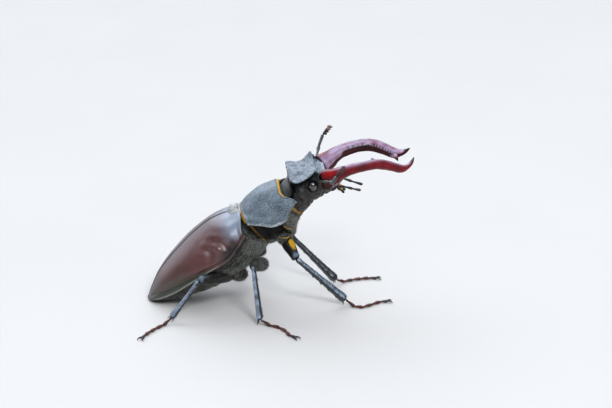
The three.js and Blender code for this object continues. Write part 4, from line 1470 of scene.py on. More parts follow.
@dataclass
class Jaws:
    """The great jaws: flat above, hollow inside, toothed along the upper inner edge and forked.

    ridge is the turn round the ring where the teeth stand. tooth_at and rows are places along
    the jaw, from 0 at the root to 1 at the tip: of the great tooth and of the small ones.
    """

    path: Knots = (
        (9.8, 4.9, 2.3), (12.2, 5.7, 2.65), (14.0, 6.3, 3.2), (16.0, 7.0, 3.5), (20.7, 7.45, 3.2),
        (23.5, 7.0, 2.35), (25.9, 6.4, 0.7), (27.7, 5.8, -0.75), (29.0, 5.3, -1.05), (30.3, 4.6, -0.8),
        (31.5, 3.4, 0.0))
    half_width: Floats = (2.1, 2.0, 1.75, 1.5, 1.35, 1.3, 1.25, 1.15, 0.85, 0.6, 0.12)
    half_height: Floats = (2.7, 2.3, 1.75, 1.45, 1.3, 1.3, 1.15, 1.05, 0.75, 0.5, 0.12)
    prong: Knots = ((27.1, 5.9, -0.85), (27.7, 3.9, -1.05), (27.9, 2.0, -1.55))
    prong_size: Floats = (0.85, 0.58, 0.1)
    roundness: float = 0.86
    lean: float = 0.3
    dome: float = 0.15
    ridge: float = 2.82
    tooth_at: float = 0.455
    tooth_width: float = 0.036
    tooth_length: float = 1.25
    small_length: float = 0.75
    small_step: float = 0.026
    rows: Sequence[Pair] = ((0.32, 0.43), (0.49, 0.76))
    knob: Floats = (10.25, 6.0, 1.95)
    knob_size: Floats = (1.35, 1.35, 2.0)
    rim_size: float = 0.15
    boss: Floats = (12.3, 6.75, 1.3)
    boss_size: Floats = (0.42, 0.3, 0.42)

    def turns(self, n: int = 104) -> Array:
        """n places around the ring, which stand closer together near the toothed ridge.

        Args:
            n: how many places

        Returns:
            Their angles
        """
        even = np.linspace(0, 2 * math.pi, 2001)
        share = np.cumsum(1 + 2.6 * bell(even, self.ridge, 0.3))
        share = (share - share[0]) / (share[-1] - share[0])
        return np.interp(np.arange(n) / n, share, even)

    def teeth(self, t: Array) -> tuple[Array, Array]:
        """How far the ridge juts in millimetres: one great tooth and rows of small ones.

        Args:
            t: places along the jaw, 0 to 1

        Returns:
            The great tooth's and the small teeth's length at each place
        """
        great = np.clip(1 - np.abs(t - self.tooth_at) / self.tooth_width, 0, 1) ** 1.25
        great = self.tooth_length * great
        jut = 0 * t
        for n, (start, end) in enumerate(self.rows):
            phase = (t - start) / self.small_step
            saw = 1 - np.abs(2 * (phase % 1) - 1) ** 0.9
            uneven = 0.75 + 0.25 * np.sin(2.3 * np.floor(phase) + n)
            inside = ramp(t, start - 0.002, start + 0.012) * fade(t, end - 0.012, end + 0.002)
            jut = jut + self.small_length * saw * uneven * inside
        return great, jut

    def blade(self) -> tuple[Array, Marks]:
        """The left jaw: a leaning oval carried along its path, with a flattened upper face, a
        ridge above the inner side, a hollow under that and teeth along the ridge.

        Returns:
            Rings in millimetres and the marks on them.
        """
        t = edged(400, 28.0, 1.0, 10)
        path = Route(self.path)(t)
        places = np.linspace(0, 1, len(self.path))
        wide = Profile(*zip(places, self.half_width))(t)
        tall = Profile(*zip(places, self.half_height))(t)
        round_off = domed(path, wide, tall, self.dome)
        wide, tall = (wide * round_off)[:, None], (tall * round_off)[:, None]
        turn, t = self.turns()[None], t[:, None]
        out = wide * (signed_power(np.cos(turn), self.roundness) + self.lean * np.sin(turn))
        up = tall * signed_power(np.sin(turn), self.roundness)
        shank = ramp(t, 0.05, 0.22) * fade(t, 0.86, 0.98)
        keen = shank * bell(turn, self.ridge, 0.17)
        seat = bell(turn, self.ridge, 0.16)
        great, small = (size * seat for size in self.teeth(t))
        out = out - 0.24 * wide * keen - 0.92 * great - small
        up = up - 0.02 * tall * keen + 0.38 * great - 0.06 * small
        up = up - 0.12 * tall * shank * bell(turn, 1.95, 0.36)
        out = out + 0.24 * wide * shank * bell(turn, 3.6, 0.42)
        stout = bell(t, 0.13, 0.13)
        out = out + 0.35 * wide * stout * bell(turn, 3.75, 0.6)
        up = up + 0.75 * tall * stout * bell(turn, 4.1, 0.5)
        brow = shank * bell(turn, 0.92, 0.2)
        out, up = out + 0.07 * wide * brow, up + 0.07 * tall * brow
        ahead = unit(np.gradient(path, axis=0))
        side = unit(np.cross([0, 0, 1.0], ahead))
        above = np.cross(ahead, side)
        rings = path[:, None] + side[:, None] * out[..., None] + above[:, None] * up[..., None]
        rings = raised(rings, 0.02 * swell(rings, 2.4, 61))
        return rings, self.paint(t, turn, great + small, swell(rings, 2.0, 62))

    def paint(self, t: Array, turn: Array, jut: Array, cloud: Array) -> Marks:
        """The marks of the blade: a painted mauve sheen above, dark teeth and tip, painted shade in the
        inner hollow, a brown root.

        Args:
            t: places along, shape (n, 1).
            turn: turns round the ring, shape (1, m).
            jut: how far the teeth jut, shape (n, m).
            cloud: the unevenness of the painted sheen, shape (n, m).

        Returns:
            The marks, shape (n, m), from 0 to 1.
        """
        ends = np.maximum(ramp(t, 0.86, 0.99), fade(t, 0.01, 0.05))
        brink = 2.8 + 1.3 * fade(t, 0.14, 0.34)
        # Painted shade in the inner hollow.
        inner = ramp(turn, brink, brink + 0.2) * fade(turn, 4.3, 4.9)
        inner = 0.75 * inner * fade(t, 0.8, 0.95)
        outside = np.minimum(np.abs(turn - 5.6), np.abs(turn + 0.68))
        collar = np.maximum(fade(t, 0.07, 0.13) * bell(outside, 0, 0.85),
                            0.6 * fade(t, 0.16, 0.36) * bell(outside, 0, 0.75))
        # Painted sheen: pale mauve on the upper faces, fading in toward the root.
        rise = 1.2 + 0.6 * fade(t, 0.1, 0.25)
        above = ramp(turn, rise, rise + 0.5)
        above = above + 0.5 * (1 - above) * ramp(turn, 0.4, 0.95) * ramp(t, 0.12, 0.3)
        above = above * fade(turn, brink - 0.1, brink + 0.1)
        bloom = above * (0.86 + 0.14 * cloud) * ramp(t, 0.0, 0.04)
        bloom = bloom * fade(t, 0.84, 0.94) * (1 - 0.6 * bell(t, 0.5, 0.03))
        toothed = ramp(t, 0.29, 0.33) * fade(t, 0.76, 0.8)
        strip_strength = toothed * bell(turn, self.ridge + 0.16, 0.12)
        notch = np.clip(1.7 * self.teeth(t)[1] / self.small_length, 0, 1)
        notch = notch * bell(turn, self.ridge - 0.08, 0.26)
        dark = np.maximum(ends, inner)
        for mark in (1.8 * jut, strip_strength, notch):
            dark = np.maximum(dark, mark)
        red = bell(t, 0.13, 0.06) * bell(turn, 0.75, 0.4)
        marks = {"dark": dark, "red": red, "bloom": bloom * (1 - 0.8 * red), "brown": collar}
        return {name: np.clip(value, 0, 1) for name, value in marks.items()}

    def make(self) -> None:
        """Builds both jaws with their prongs, root knobs and the rim around each knob."""
        t = np.linspace(0, 1, 60)
        size = Profile(*zip((0, 0.5, 1), self.prong_size))(t)
        prong = tube(Route(self.prong)(t), size, 40, 0.1, 0.6, (1, 0.85), power=0.95)
        knob = orb(self.knob, self.knob_size, None, 40, 56)
        arc = np.linspace(-0.9, 1.25, 44)
        hoop = self.knob + np.stack([1.38 * np.cos(arc), 0.72 + 0.35 * np.cos(arc),
                                     1.95 * np.sin(arc)], -1)
        rim = tube(hoop, np.full(44, self.rim_size), 12, 2.0, upward=(0, 1, 0))
        boss = orb(self.boss, self.boss_size, None, 16, 20)
        # The knobs are darker on their lower half, a painted shade; the prongs' tops carry a painted
        # sheen, and the rims and the bosses a painted highlight.
        parts = (self.blade(),
                 (prong, {"dark": ramp(t, 0.5, 0.95)[:, None],
                          "bloom": 0.9 * ramp(prong[..., 2], -1.1, -0.6)}),
                 (knob, {"brown": 0.9, "dark": 0.5 * ramp(-knob[..., 2], -2.0, 0.0)}),
                 (rim, {"bloom": 0.6}), (boss, {"bloom": 0.8}))
        finish = JAW.material()
        for side in Side:
            patches = [closed_grid(HEAD, grid * side.flip, marks) for grid, marks in parts]
            build(f"great_jaw_{side.word}", patches, finish, "jaw", f"mandible_{side.word}")


# ---- mouth


@dataclass(frozen=True)
class Lip:
    """A lip plate: its half widths behind and ahead, its length, and where its back stands.

    The front bows out by bow in the middle, and the plate slopes down ahead by tilt degrees.
    """

    back: float
    front: float
    reach: float
    bow: float
    tilt: float
    at: float
    up: float
    thick: float = 0.95

    def patch(self) -> Patch:
        """A plate whose sides draw in ahead and whose front bows: reach plus bow (1 - v^2).

        Returns:
            The plate, closed
        """
        s = edged(50, 2.4, 0.2)[:, None]
        v = 2 * edged(90, 5.0, 0.2)[None] - 1
        ahead = s * (self.reach + self.bow * (1 - v**2))
        rise = 0.18 * (1 - v**2) - 0.12 * bell(s, 0.8, 0.1) + 0.1 * bell(s, 0.93, 0.07)
        cosine, sine = math.cos(math.radians(self.tilt)), math.sin(math.radians(self.tilt))
        grid = np.stack([self.at + ahead * cosine + rise * sine,
                         v * (self.back + (self.front - self.back) * s),
                         self.up - ahead * sine + rise * cosine], -1)
        return thick_sheet(HEAD, grid, self.thick, 0.3)


@dataclass
class Mouth:
    """The lip plates, and two pairs of palps: threads of short joints.

    The left palps reach farther: left_ahead and left_down move their second joint's end.
    """

    upper: Lip = Lip(back=2.3, front=1.5, reach=1.6, bow=0.65, tilt=30, at=10.9, up=1.95)
    lower: Lip = Lip(back=3.1, front=2.3, reach=2.0, bow=0.45, tilt=4, at=9.4, up=-0.9)
    maxillary: Knots = ((11.9, 2.9, -0.8), (13.9, 3.1, -1.6), (15.5, 3.2, -2.6), (17.3, 3.2, -3.7))
    labial: Knots = ((12.0, 1.3, -1.7), (12.7, 1.4, -2.5), (13.4, 1.5, -3.6))
    left_ahead: float = 0.9
    left_down: float = 1.17

    def palp(self, route: Knots, side: Side) -> Array:
        """One palp: a tube whose joints swell toward their far ends.

        Args:
            route: the joints on the left side
            side: the side it stands on

        Returns:
            The tube's grid
        """
        knots = route * side.flip
        far = np.maximum(0, np.arange(len(knots)) - 1)[:, None] / 2
        if side is Side.LEFT:
            knots = knots + far * [self.left_ahead, 0, -self.left_down]
        t = np.linspace(0, 1, 110)
        joint = (t * (len(knots) - 1)) % 1
        size = 0.21 + 0.13 * ramp(joint, 0.1, 0.8) * fade(joint, 0.9, 1.0)
        return tube(Route(knots)(t), size, 20, 0.8, 0.3)

    def make(self) -> None:
        """Builds and dresses the plates and the palps."""
        build("upper_lip", [self.upper.patch()], CROWN.material(), "head_plate", "clypeus")
        finish = MOUTH.material()
        build("lower_lip", [self.lower.patch()], finish, "mouth", "labium")
        for kind, route in (("maxillary", self.maxillary), ("labial", self.labial)):
            for side in Side:
                thread = closed_grid(HEAD, self.palp(route, side))
                build(f"{kind}_palp_thread_{side.word}", [thread], finish, "mouth",
                      f"{kind}_palp_{side.word}")


# ---- feelers


@dataclass
class Feeler:
    """One feeler: a long shaft, a short chain of beads and a club with four leaves.

    painted_felt_shade is how dark the club's felt is at least, a painted shade; its first two leaves are
    dark anyway.
    """

    side: Side
    root: Floats
    elbow: Floats
    club: Floats
    tip: Floats
    # Painted shade: how dark the whole club is made at least.
    painted_felt_shade: float = 0.0
    beads: int = 6
    leaf_count: int = 4
    leaf: float = 1.15

    def shaft(self) -> Array:
        """The shaft: a bowed tube that thickens to the elbow.

        Returns:
            The tube's grid
        """
        root, elbow = np.array(self.root), np.array(self.elbow)
        t = np.linspace(0, 1, 90)
        bow = np.sin(math.pi * t)[:, None] * np.array([0.25, 0.1 * self.side.value, 0.1])
        path = root + (elbow - root) * t[:, None] + bow
        size = Profile([0, 0.4], [0.08, 0.28], [0.6, 0.3], [0.93, 0.46], [1, 0.42])(t)
        return tube(path, size, 24, 0.6, 0.3)

    def chain(self) -> Array:
        """The chain: a straight tube whose beads swell as half a sine.

        Returns:
            The tube's grid
        """
        elbow, club = np.array(self.elbow), np.array(self.club)
        t = np.linspace(0, 1, 150)
        size = 0.22 + 0.2 * np.sin(math.pi * ((t * self.beads) % 1)) ** 0.7
        return tube(elbow + (club - elbow) * t[:, None], size * (0.9 + 0.25 * t), 22, 0.5, 0.3)

    def leaves(self) -> list[Patch]:
        """The club: a stalk, and flat eggs that stand out from it on one side.

        Returns:
            The stalk and the leaves, closed
        """
        club, along = np.array(self.club), np.array(self.tip) - self.club
        away = unit(np.cross([0, 0, 1.0], along)) * -self.side.value
        axes = np.stack([away, np.cross(unit(along), away), unit(along)])
        t = np.linspace(0, 1, 60)
        stalk = tube(club + along * t[:, None], Profile([0, 0.24], [0.5, 0.3], [1, 0.26])(t), 20, 0.5)
        dark = np.maximum(fade(t, 0.5, 0.66), self.painted_felt_shade)[:, None]
        patches = [closed_grid(HEAD, stalk, {"dark": dark})]
        for n in range(self.leaf_count):
            at = club + along * (n + 0.62) / self.leaf_count + away * 0.45 * self.leaf
            reach = 0.72 * self.leaf * (0.8 + 0.07 * n)
            leaf = orb(at, (reach, 0.46 + 0.03 * n, 0.29), axes, 26, 34)
            leaf = leaf + unit(along) * 0.25 * ((leaf - at) @ away / self.leaf)[..., None]
            dark = max(0.9 * (n < self.leaf_count / 2), self.painted_felt_shade)
            patches.append(closed_grid(HEAD, leaf, {"dark": dark}))
        return patches

    def make(self, horn: Material, felt: Material) -> None:
        """Builds the shaft, the chain and the club.

        Args:
            horn: the finish of the shaft and the chain.
            felt: the finish of the club.
        """
        word = self.side.word
        shaft, chain = (closed_grid(HEAD, grid) for grid in (self.shaft(), self.chain()))
        build(f"feeler_shaft_{word}", [shaft], horn, "feeler", f"antenna_{word}_scape")
        build(f"feeler_chain_{word}", [chain], horn, "feeler", f"antenna_{word}_funicle")
        build(f"feeler_club_{word}", self.leaves(), felt, "feeler_club", f"antenna_{word}_club")


# ---- legs


@dataclass(frozen=True)
class Limb:
    """The sizes of one pair's legs: the hip's half sizes and half widths from hip to ankle.

    strip_strength is how pale the painted highlight strip on the shin is, and painted_highlight_way where
    it faces on the left.
    """

    hip: Floats
    thigh: Floats
    shin: Floats
    teeth: int
    # How pale the painted highlight on the shins is, and the way it faces.
    strip_strength: float
    painted_highlight_way: Floats


FRONT = Limb(
    (1.8, 2.8, 1.9), (1.5, 1.6, 1.3, 1.0), (0.6, 0.68, 0.82, 1.08), 5, 0.9, (0.1, 0.75, 0.6))
MIDDLE = Limb(
    (1.7, 2.0, 1.6), (1.1, 1.5, 1.45, 1.0), (0.56, 0.6, 0.68, 0.8), 3, 0.8, (-0.5, 0.8, 0.25))
HIND = Limb(
    (2.0, 2.8, 1.5), (1.1, 1.5, 1.4, 0.95), (0.56, 0.6, 0.66, 0.78), 3, 0.7, (-0.4, 0.6, 0.65))


@dataclass
class Leg:
    """One leg, from the hip in the body over the knee and the ankle to two claws on the floor."""

    name: str
    sizes: Limb
    hip: Floats
    knee: Floats
    ankle: Floats
    foot: Knots
    claws: Floats
    tooth_length: float = 1.5
    shin_clear: float = 0.03
    toe_height: float = 0.27
    toe_wide: float = 0.43
    claw_length: float = 1.25

    @property
    def side(self) -> float:
        """1 on the left and -1 on the right."""
        return math.copysign(1, self.hip[1])

    def hip_joint(self) -> Array:
        """The hip: an egg lying across, with a furrow where the thigh turns.

        Returns:
            Its grid
        """
        grid = orb(self.hip, self.sizes.hip, None, 60, 80)
        ahead, up = np.moveaxis((grid - self.hip) / self.sizes.hip, -1, 0)[::2]
        furrow = 0.05 * bell(ahead, 0.35, 0.14) * ramp(-up, -0.4, 0.2)
        return raised(grid, 0.03 * swell(grid, 1.6, 71) - furrow)

    def thigh(self) -> Array:
        """The thigh: a tube, flatter to the front and back, that swells into a notched knee.

        Returns:
            Its grid
        """
        hip, knee = np.array(self.hip, float), np.array(self.knee, float)
        t = edged(110, 9.0, 1.0, 12)
        path = Route([hip + (knee - hip) * place for place in (0.12, 0.4, 0.7, 1)])(t)
        size = Profile(*zip(np.linspace(0, 1, 4), self.sizes.thigh))(t)

        def knob(place: Array, _turn: Array) -> Array:
            """The swelling of the knee and the notch behind it."""
            return 0.05 * bell(place, 0.92, 0.05) - 0.03 * bell(place, 0.84, 0.04)

        grid = tube(path, size, 60, 0.3, flat=(0.9, 1.03), power=0.93, grow=knob)
        return raised(grid, 0.02 * swell(grid, 1.4, 72))

    def shin(self) -> list[Array]:
        """The shin: a ridged tube widening to the ankle, with teeth outside and two spurs.

        Returns:
            The grids of the tube, the teeth and the spurs
        """
        knee, ankle = np.array(self.knee, float), np.array(self.ankle, float)
        t = edged(150, 12.0, 0.8, 12)
        size = Profile(*zip((0, 0.33, 0.7, 1), self.sizes.shin))(t)
        size = size * Profile([0, 1.15], [0.05, 1.1], [0.12, 0.95], [1, 1])(t)

        def ridges(place: Array, turn: Array) -> Array:
            """Four ridges along the shin that start below the knee."""
            return 0.07 * np.cos(4 * turn + 0.4) * ramp(place, 0.08, 0.2)

        grid = tube(knee + (ankle - knee) * t[:, None], size, 56, 0.6, power=0.95, grow=ridges)
        grids = [raised(grid, 0.015 * swell(grid, 1.0, 73))]
        way = unit(ankle - knee)
        outside = np.array([-0.5, 0.4 * self.side, -0.35])
        for n, place in enumerate(np.linspace(0.33, 0.95, self.sizes.teeth)):
            root = knee + (ankle - knee) * place + 0.25 * unit(outside)
            length = self.tooth_length * (0.75 + 0.25 * n / (self.sizes.teeth - 1))
            grids.append(thorn(root, 0.85 * way + outside, length, 0.34, 0.18 * way))
        beside = unit(np.cross(way, outside))
        for out in (-beside, beside):
            grids.append(thorn(ankle - 0.4 * way + 0.4 * out, way + 0.6 * out, 0.95, 0.16, 0.1 * way))
        for grid in grids:
            grid[..., 2] = np.maximum(grid[..., 2], self.shin_clear)
        return grids

    def toes(self) -> list[Array]:
        """The foot: five joints, each swelling to its far end, and two hooked claws.

        Returns:
            The grids of the joints and the claws
        """
        joints = [np.array([x, y, self.toe_height]) for x, y in (*self.foot, self.claws)]
        ankle = np.array(self.ankle, float)
        route = [ankle + (joints[0] - ankle) * 0.1, *joints]
        middle = Profile([0, 0.24], [0.25, 0.27], [0.8, self.toe_wide], [1, 0.4])
        last = Profile([0, 0.22], [0.4, 0.27], [0.9, 0.38], [1, 0.34])
        t = edged(46, 2.2, 0.4, 8)
        grids = []
        for start, end in zip(route[:-1], route[1:]):
            path = start + (end - start) * t[:, None]
            path[:, 2] += 0.1 * np.sin(math.pi * t)
            size = (last if end is joints[-1] else middle)(t)
            grids.append(tube(path, size, 26, 0.3, flat=(1, 0.92), power=0.95))
            way = unit(end - start)
            beside = np.array([-way[1], way[0], 0])
            if end is joints[-1]:
                break
            for out in (-beside, beside):
                root = start + (end - start) * 0.86 + 0.2 * out
                grids.append(thorn(root, way * 0.9 + 0.4 * out - [0, 0, 0.25], 0.55, 0.1))
        t = np.linspace(0, 1, 34)
        size = Profile([0, 0.22], [0.3, 0.2], [0.8, 0.1], [1, 0.03])(t)
        for out in (-beside, beside):
            steps = ((-0.25, 0, 0.05), (0.4, 0.3, 0.22), (0.9, 0.62, 0.08), (self.claw_length, 0.6, -0.2))
            knots = [end + far * way + wide * out + [0, 0, up] for far, wide, up in steps]
            grids.append(sweep(Route(knots)(t), size, size, 16))
        grids.append(thorn(end - 0.05 * way, way - [0, 0, 0.15], 0.7, 0.08))
        for grid in grids:
            grid[..., 2] = np.maximum(grid[..., 2], 0.0)
        return grids

    def facing(self, grid: Array, start: float) -> Array:
        """How squarely the skin faces the side of the painted highlight: 0 at the cosine start, 1 near 1.
        """
        # The way that the painted highlight faces, on this leg's side.
        rubbed = unit(np.array(self.sizes.painted_highlight_way) * [1, self.side, 1])
        return ramp(grid_normals(grid) @ rubbed, start, 0.97)

    def upper_marks(self, grid: Array) -> Marks:
        """The marks of the hip and the thigh: brown clouds, a seam mark at half strength all over, and a
        painted highlight on the far end.

        Args:
            grid: the surface that carries them

        Returns:
            The marks by name
        """
        place = np.linspace(0, 1, len(grid))[:, None]
        # lit is a painted highlight on the knee end.
        return {"brown": 0.4 * ramp(swell(grid, 5.0, 74), 0.0, 1.0), "seam": 0.5,
                "lit": 0.5 * ramp(place, 0.78, 0.92) * self.facing(grid, 0.45)}

    def shin_marks(self, grid: Array) -> Marks:
        """The mark of the shin: a cloudy strip of painted highlight, which the teeth and spurs don't have.
        """
        strip = self.sizes.strip_strength * (0.8 + 0.2 * swell(grid, 2.4, 75)) * self.facing(grid, 0.72)
        return {"lit": strip * (len(grid) > THORN_RINGS)}

    def foot_marks(self, grid: Array) -> Marks:
        """The mark of the foot: dark toward the claws."""
        far = np.array([*self.claws, 0.0])
        return {"dark": fade(np.linalg.norm(grid - far, axis=-1), 0.4, 2.0)}

    def make(self, horns: dict[str, Material]) -> None:
        """Builds the four pieces of the leg.

        Args:
            horns: the finishes by the piece's name; a middle thigh is as hairy as the hips.
        """
        thigh_horn = horns["hip" if self.sizes is MIDDLE else "thigh"]
        for part, piece, slot, finish, grids, marks in (
                ("coxa", "hip", "leg", horns["hip"], [self.hip_joint()], self.upper_marks),
                ("femur", "thigh", "leg", thigh_horn, [self.thigh()], self.upper_marks),
                ("tibia", "shin", "leg", horns["shin"], self.shin(), self.shin_marks),
                ("tarsus", "foot", "foot", horns["foot"], self.toes(), self.foot_marks)):
            patches = [closed_grid(FLOOR, grid, marks(grid)) for grid in grids]
            build(f"{piece}_{self.name}", patches, finish, slot, f"leg_{self.name}_{part}")


# ---- hair


@dataclass(frozen=True)
class Hair:
    """How the hairs of one patch grow.

    length is the usual one and thick the radius at the root, both in millimetres. lift is how
    far they stand off the skin: 0 lies flat and 1 stands up. spread is how far the directions
    scatter, and droop how far the tip bends on along the lie, as a share of the length.
    """

    count: int
    length: float
    lift: float
    seed: int
    thick: float = 0.035
    spread: float = 0.35
    droop: float = 0.25


@dataclass
class Skin:
    """A grid surface in a section's frame that hairs are set in.

    root_depth is how deep the roots sit, in millimetres. Each hair is two rings of three points
    and a tip: knee is the second ring's place along it and taper that ring's share of the root's
    radius. spot is the size of a hair's own place on the UV map.
    """

    section: Section
    grid: Array
    wrap: bool = True
    root_depth: float = 0.05
    knee: float = 0.52
    taper: float = 0.78
    spot: float = 0.0015

    def hairs(self, weight: Array | float, lie: Floats, hair: Hair) -> Patch:
        """Hairs as three-sided spikes that leave the skin by the lift and lean along the lie.

        Each runs out by way * s + bend * s^2, for s from 0 to 1, and thins toward its tip.

        Args:
            weight: how thick the hairs stand on the grid, shape (along, around).
            lie: the direction they lie in, in the section's frame.
            hair: how they grow.

        Returns:
            One patch of all the hairs, with the marks tip and own.
        """
        rng, count = np.random.default_rng(hair.seed), hair.count
        rows, columns = self.grid.shape[:2]
        normals = grid_normals(self.grid, self.wrap)
        density = np.clip(np.broadcast_to(weight, (rows, columns)), 0, None)
        density = density[:-1, :columns if self.wrap else columns - 1]
        cell = rng.choice(density.size, count, p=(density / density.sum()).ravel())
        i, j = np.divmod(cell, density.shape[1])
        beside = (j + 1) % columns
        a, b = rng.random((2, count, 1))
        root = ((1 - a) * ((1 - b) * self.grid[i, j] + b * self.grid[i, beside])
                + a * ((1 - b) * self.grid[i + 1, j] + b * self.grid[i + 1, beside]))
        normal = normals[i, j]
        flat = np.asarray(lie, float) - normal * (normal @ np.asarray(lie, float))[:, None]
        flat = unit(flat) + hair.spread * rng.normal(size=(count, 3))
        way = unit(hair.lift * normal + (1 - hair.lift) * unit(flat))
        own = rng.random(count)
        reach = hair.length * rng.uniform(0.65, 1.15, (count, 1))
        root = root - normal * self.root_depth
        side = unit(np.cross(way, normal + 0.01))
        bend = hair.droop * unit(flat - 0.3 * normal)
        turn = ring_turns(3)[0]
        ring = np.stack([np.cos(turn), np.sin(turn)], -1)
        across = ring @ np.stack([side, np.cross(way, side)], 1)
        knee = root + reach * (way * self.knee + bend * self.knee**2)
        points = np.concatenate([root[:, None] + hair.thick * across,
                                 knee[:, None] + hair.thick * self.taper * across,
                                 (root + reach * (way + bend))[:, None]], 1)
        near, far = np.arange(3), (np.arange(3) + 1) % 3
        quads = np.stack([near, far, far + 3, near + 3], -1)
        tris = np.concatenate([np.stack([near + 3, far + 3, np.full(3, 6)], -1), [[2, 1, 0]]])
        base = (7 * np.arange(count))[:, None, None]
        place = np.stack([(i + a[:, 0]) / rows, (j + b[:, 0]) / columns], -1)[:, None]
        place = 0.01 + 0.98 * place + self.spot * np.concatenate([ring, 0.6 * ring, [[0, 0]]])
        marks = {"tip": np.tile(np.repeat([0, self.knee, 1], (3, 3, 1)), count),
                 "own": np.repeat(own, 7)}
        return Patch(self.section.metres(points.reshape(-1, 3)), (base + quads).reshape(-1, 4),
                     (base + tris).reshape(-1, 3), marks, place.reshape(-1, 2))


AHEAD, BEHIND = (1, 0, 0), (-1, 0, 0)


@dataclass
class Coat:
    """The beetle's hair: golden fringes, a pale tuft behind the collar and a short olive pile."""

    collar: Collar
    underside: CollarUnderside
    belly: Belly
    legs: Sequence[Leg]
    tongue: Floats = (12.1, 0, -1.9)
    tongue_size: Floats = (1.0, 1.5, 0.8)

    def collar_hairs(self, stations: Floats, columns: int, shift: Floats,
                     weight: Callable[[Array], Array], lie: Floats, hair: Hair) -> Patch:
        """Hairs that stand under the collar in a band across it.

        Args:
            stations: where the band starts and ends, from the hind edge to the front edge.
            columns: how many points the band has across.
            shift: how far it lies from the collar's own surface, millimetres.
            weight: how thick the hairs stand at a turn from the middle.
            lie: the direction they lie in.
            hair: how they grow.

        Returns:
            The hairs.
        """
        turn = (np.linspace(0, 1, columns)[None] - 0.5) * math.pi
        grid = self.collar.line(np.linspace(*stations, 5)[:, None], turn) + shift
        return Skin(PROTHORAX, grid, False).hairs(weight(turn), lie, hair)

    def fringes(self, gold: Material) -> None:
        """Hairs from under both ends of the collar and of its underside.

        Args:
            gold: the finish of the collar's fringes
        """
        def full(turn: Array) -> Array:
            """Even, and none near the plate's sides."""
            return fade(np.abs(turn), 1.3, 1.42)

        for end, stations, down, lie, hair in (
                ("front", (0.95, 0.97), 0.34, AHEAD, Hair(3600, 0.68, 0, 81, 0.035, 0.12, 0.05)),
                ("hind", (0.005, 0.02), 0.22, BEHIND, Hair(4800, 0.8, 0, 82, 0.035, 0.12, 0.05))):
            patch = self.collar_hairs(stations, 161, [0, 0, -down], full, lie, hair)
            build(f"collar_{end}_fringe", [patch], gold, "collar_plate")
        around = ring_turns(160)
        low = ramp(-np.sin(around), -0.05, 0.1)
        aside = np.abs(around - 1.5 * math.pi)
        s = np.linspace(0.55, 0.75, 81)[:, None]
        line = bell(s, 0.645 + 0.1 * (1.33 - aside), 0.005)
        line = line * ramp(aside, 0.65, 0.75) * fade(aside, 1.3, 1.4)
        patches = []
        for stations, weight, lie, hair in (
                (np.linspace(0.94, 1.0, 5), low, AHEAD, Hair(2600, 0.85, 0.15, 83, 0.03, 0.12)),
                (np.linspace(0.0, 0.03, 5), low, BEHIND, Hair(2600, 0.36, 0.15, 84, 0.03, 0.12)),
                (s[:, 0], line, BEHIND, Hair(420, 0.2, 0.3, 180, 0.03, 0.12))):
            skin = Skin(PROTHORAX, self.underside.skin(stations[:, None], around))
            patches.append(skin.hairs(weight, lie, hair))
        # The breast fringes take the darker gold, a painted shade.
        build("breast_fringe", patches, GOLD_IN_PAINTED_SHADE.material(), "underside")

    def tuft(self, pale: Material) -> None:
        """The pale tuft that fills the gap between the collar and the wing cases on top.

        Args:
            pale: its finish
        """
        def middle(turn: Array) -> Array:
            """Thick on the middle line."""
            return bell(turn, 0, 0.26)

        patch = self.collar_hairs((0.005, 0.09), 101, [-1.0, 0, -0.25], middle, BEHIND,
                                  Hair(2400, 2.6, 0.34, 85, 0.036, 0.4, 0.1))
        build("scutellar_tuft", [patch], pale, "collar_plate")

    def pile(self, olive: Material) -> None:
        """Short hairs all over the underside and the sides of the thorax.

        Args:
            olive: their finish
        """
        turn = ring_turns(120)
        below = ramp(-np.sin(turn), 0.02, 0.2)
        x = np.linspace(17.6, 31.4, 60)[:, None]
        trunk = self.belly.skin(x, turn)
        share = np.linspace(1, 0.15, 14)[:, None, None]
        middle = trunk[-1:].mean(1, keepdims=True)
        front = middle + (trunk[-1:] - middle) * share
        front = front + np.array([0.4, 0, 0]) * (1 - share) + [0.05, 0, 0]
        belly = self.belly.skin(np.linspace(1.5, 17.0, 60)[:, None], turn)
        s = np.linspace(0.05, 0.95, 50)[:, None]
        breast = self.underside.skin(s, turn)
        bare = ramp(np.abs(turn - 1.5 * math.pi), 0.55, 0.85) * fade(s, 0.6, 0.8)
        thick = 0.3 + 0.7 * ramp(-np.sin(turn), 0.3, 0.6) + 1.5 * ramp(x, 26.5, 29)
        hips = [Skin(FLOOR, leg.hip_joint()).hairs(1, BEHIND, Hair(1500, 0.62, 0.32, 140 + n, 0.026))
                for n, leg in enumerate(self.legs)]
        for name, slot, patches in (
                ("thorax_front", "underside", [
                    Skin(HIND_BODY, front).hairs(1, (0, 0, -1), Hair(2600, 0.6, 0.3, 190, 0.028))]),
                ("hind_thorax", "underside", [Skin(HIND_BODY, trunk).hairs(
                    below * thick, BEHIND, Hair(9500, 0.85, 0.32, 86, 0.028))]),
                ("abdomen", "underside", [
                    Skin(HIND_BODY, belly).hairs(below, BEHIND, Hair(8000, 0.6, 0.22, 87, 0.024))]),
                ("hip", "leg", hips),
                ("breast", "underside", [Skin(PROTHORAX, breast).hairs(
                    (1 - bare) * below, BEHIND, Hair(6500, 0.6, 0.25, 88, 0.024))])):
            build(f"{name}_pile", patches, olive, slot)

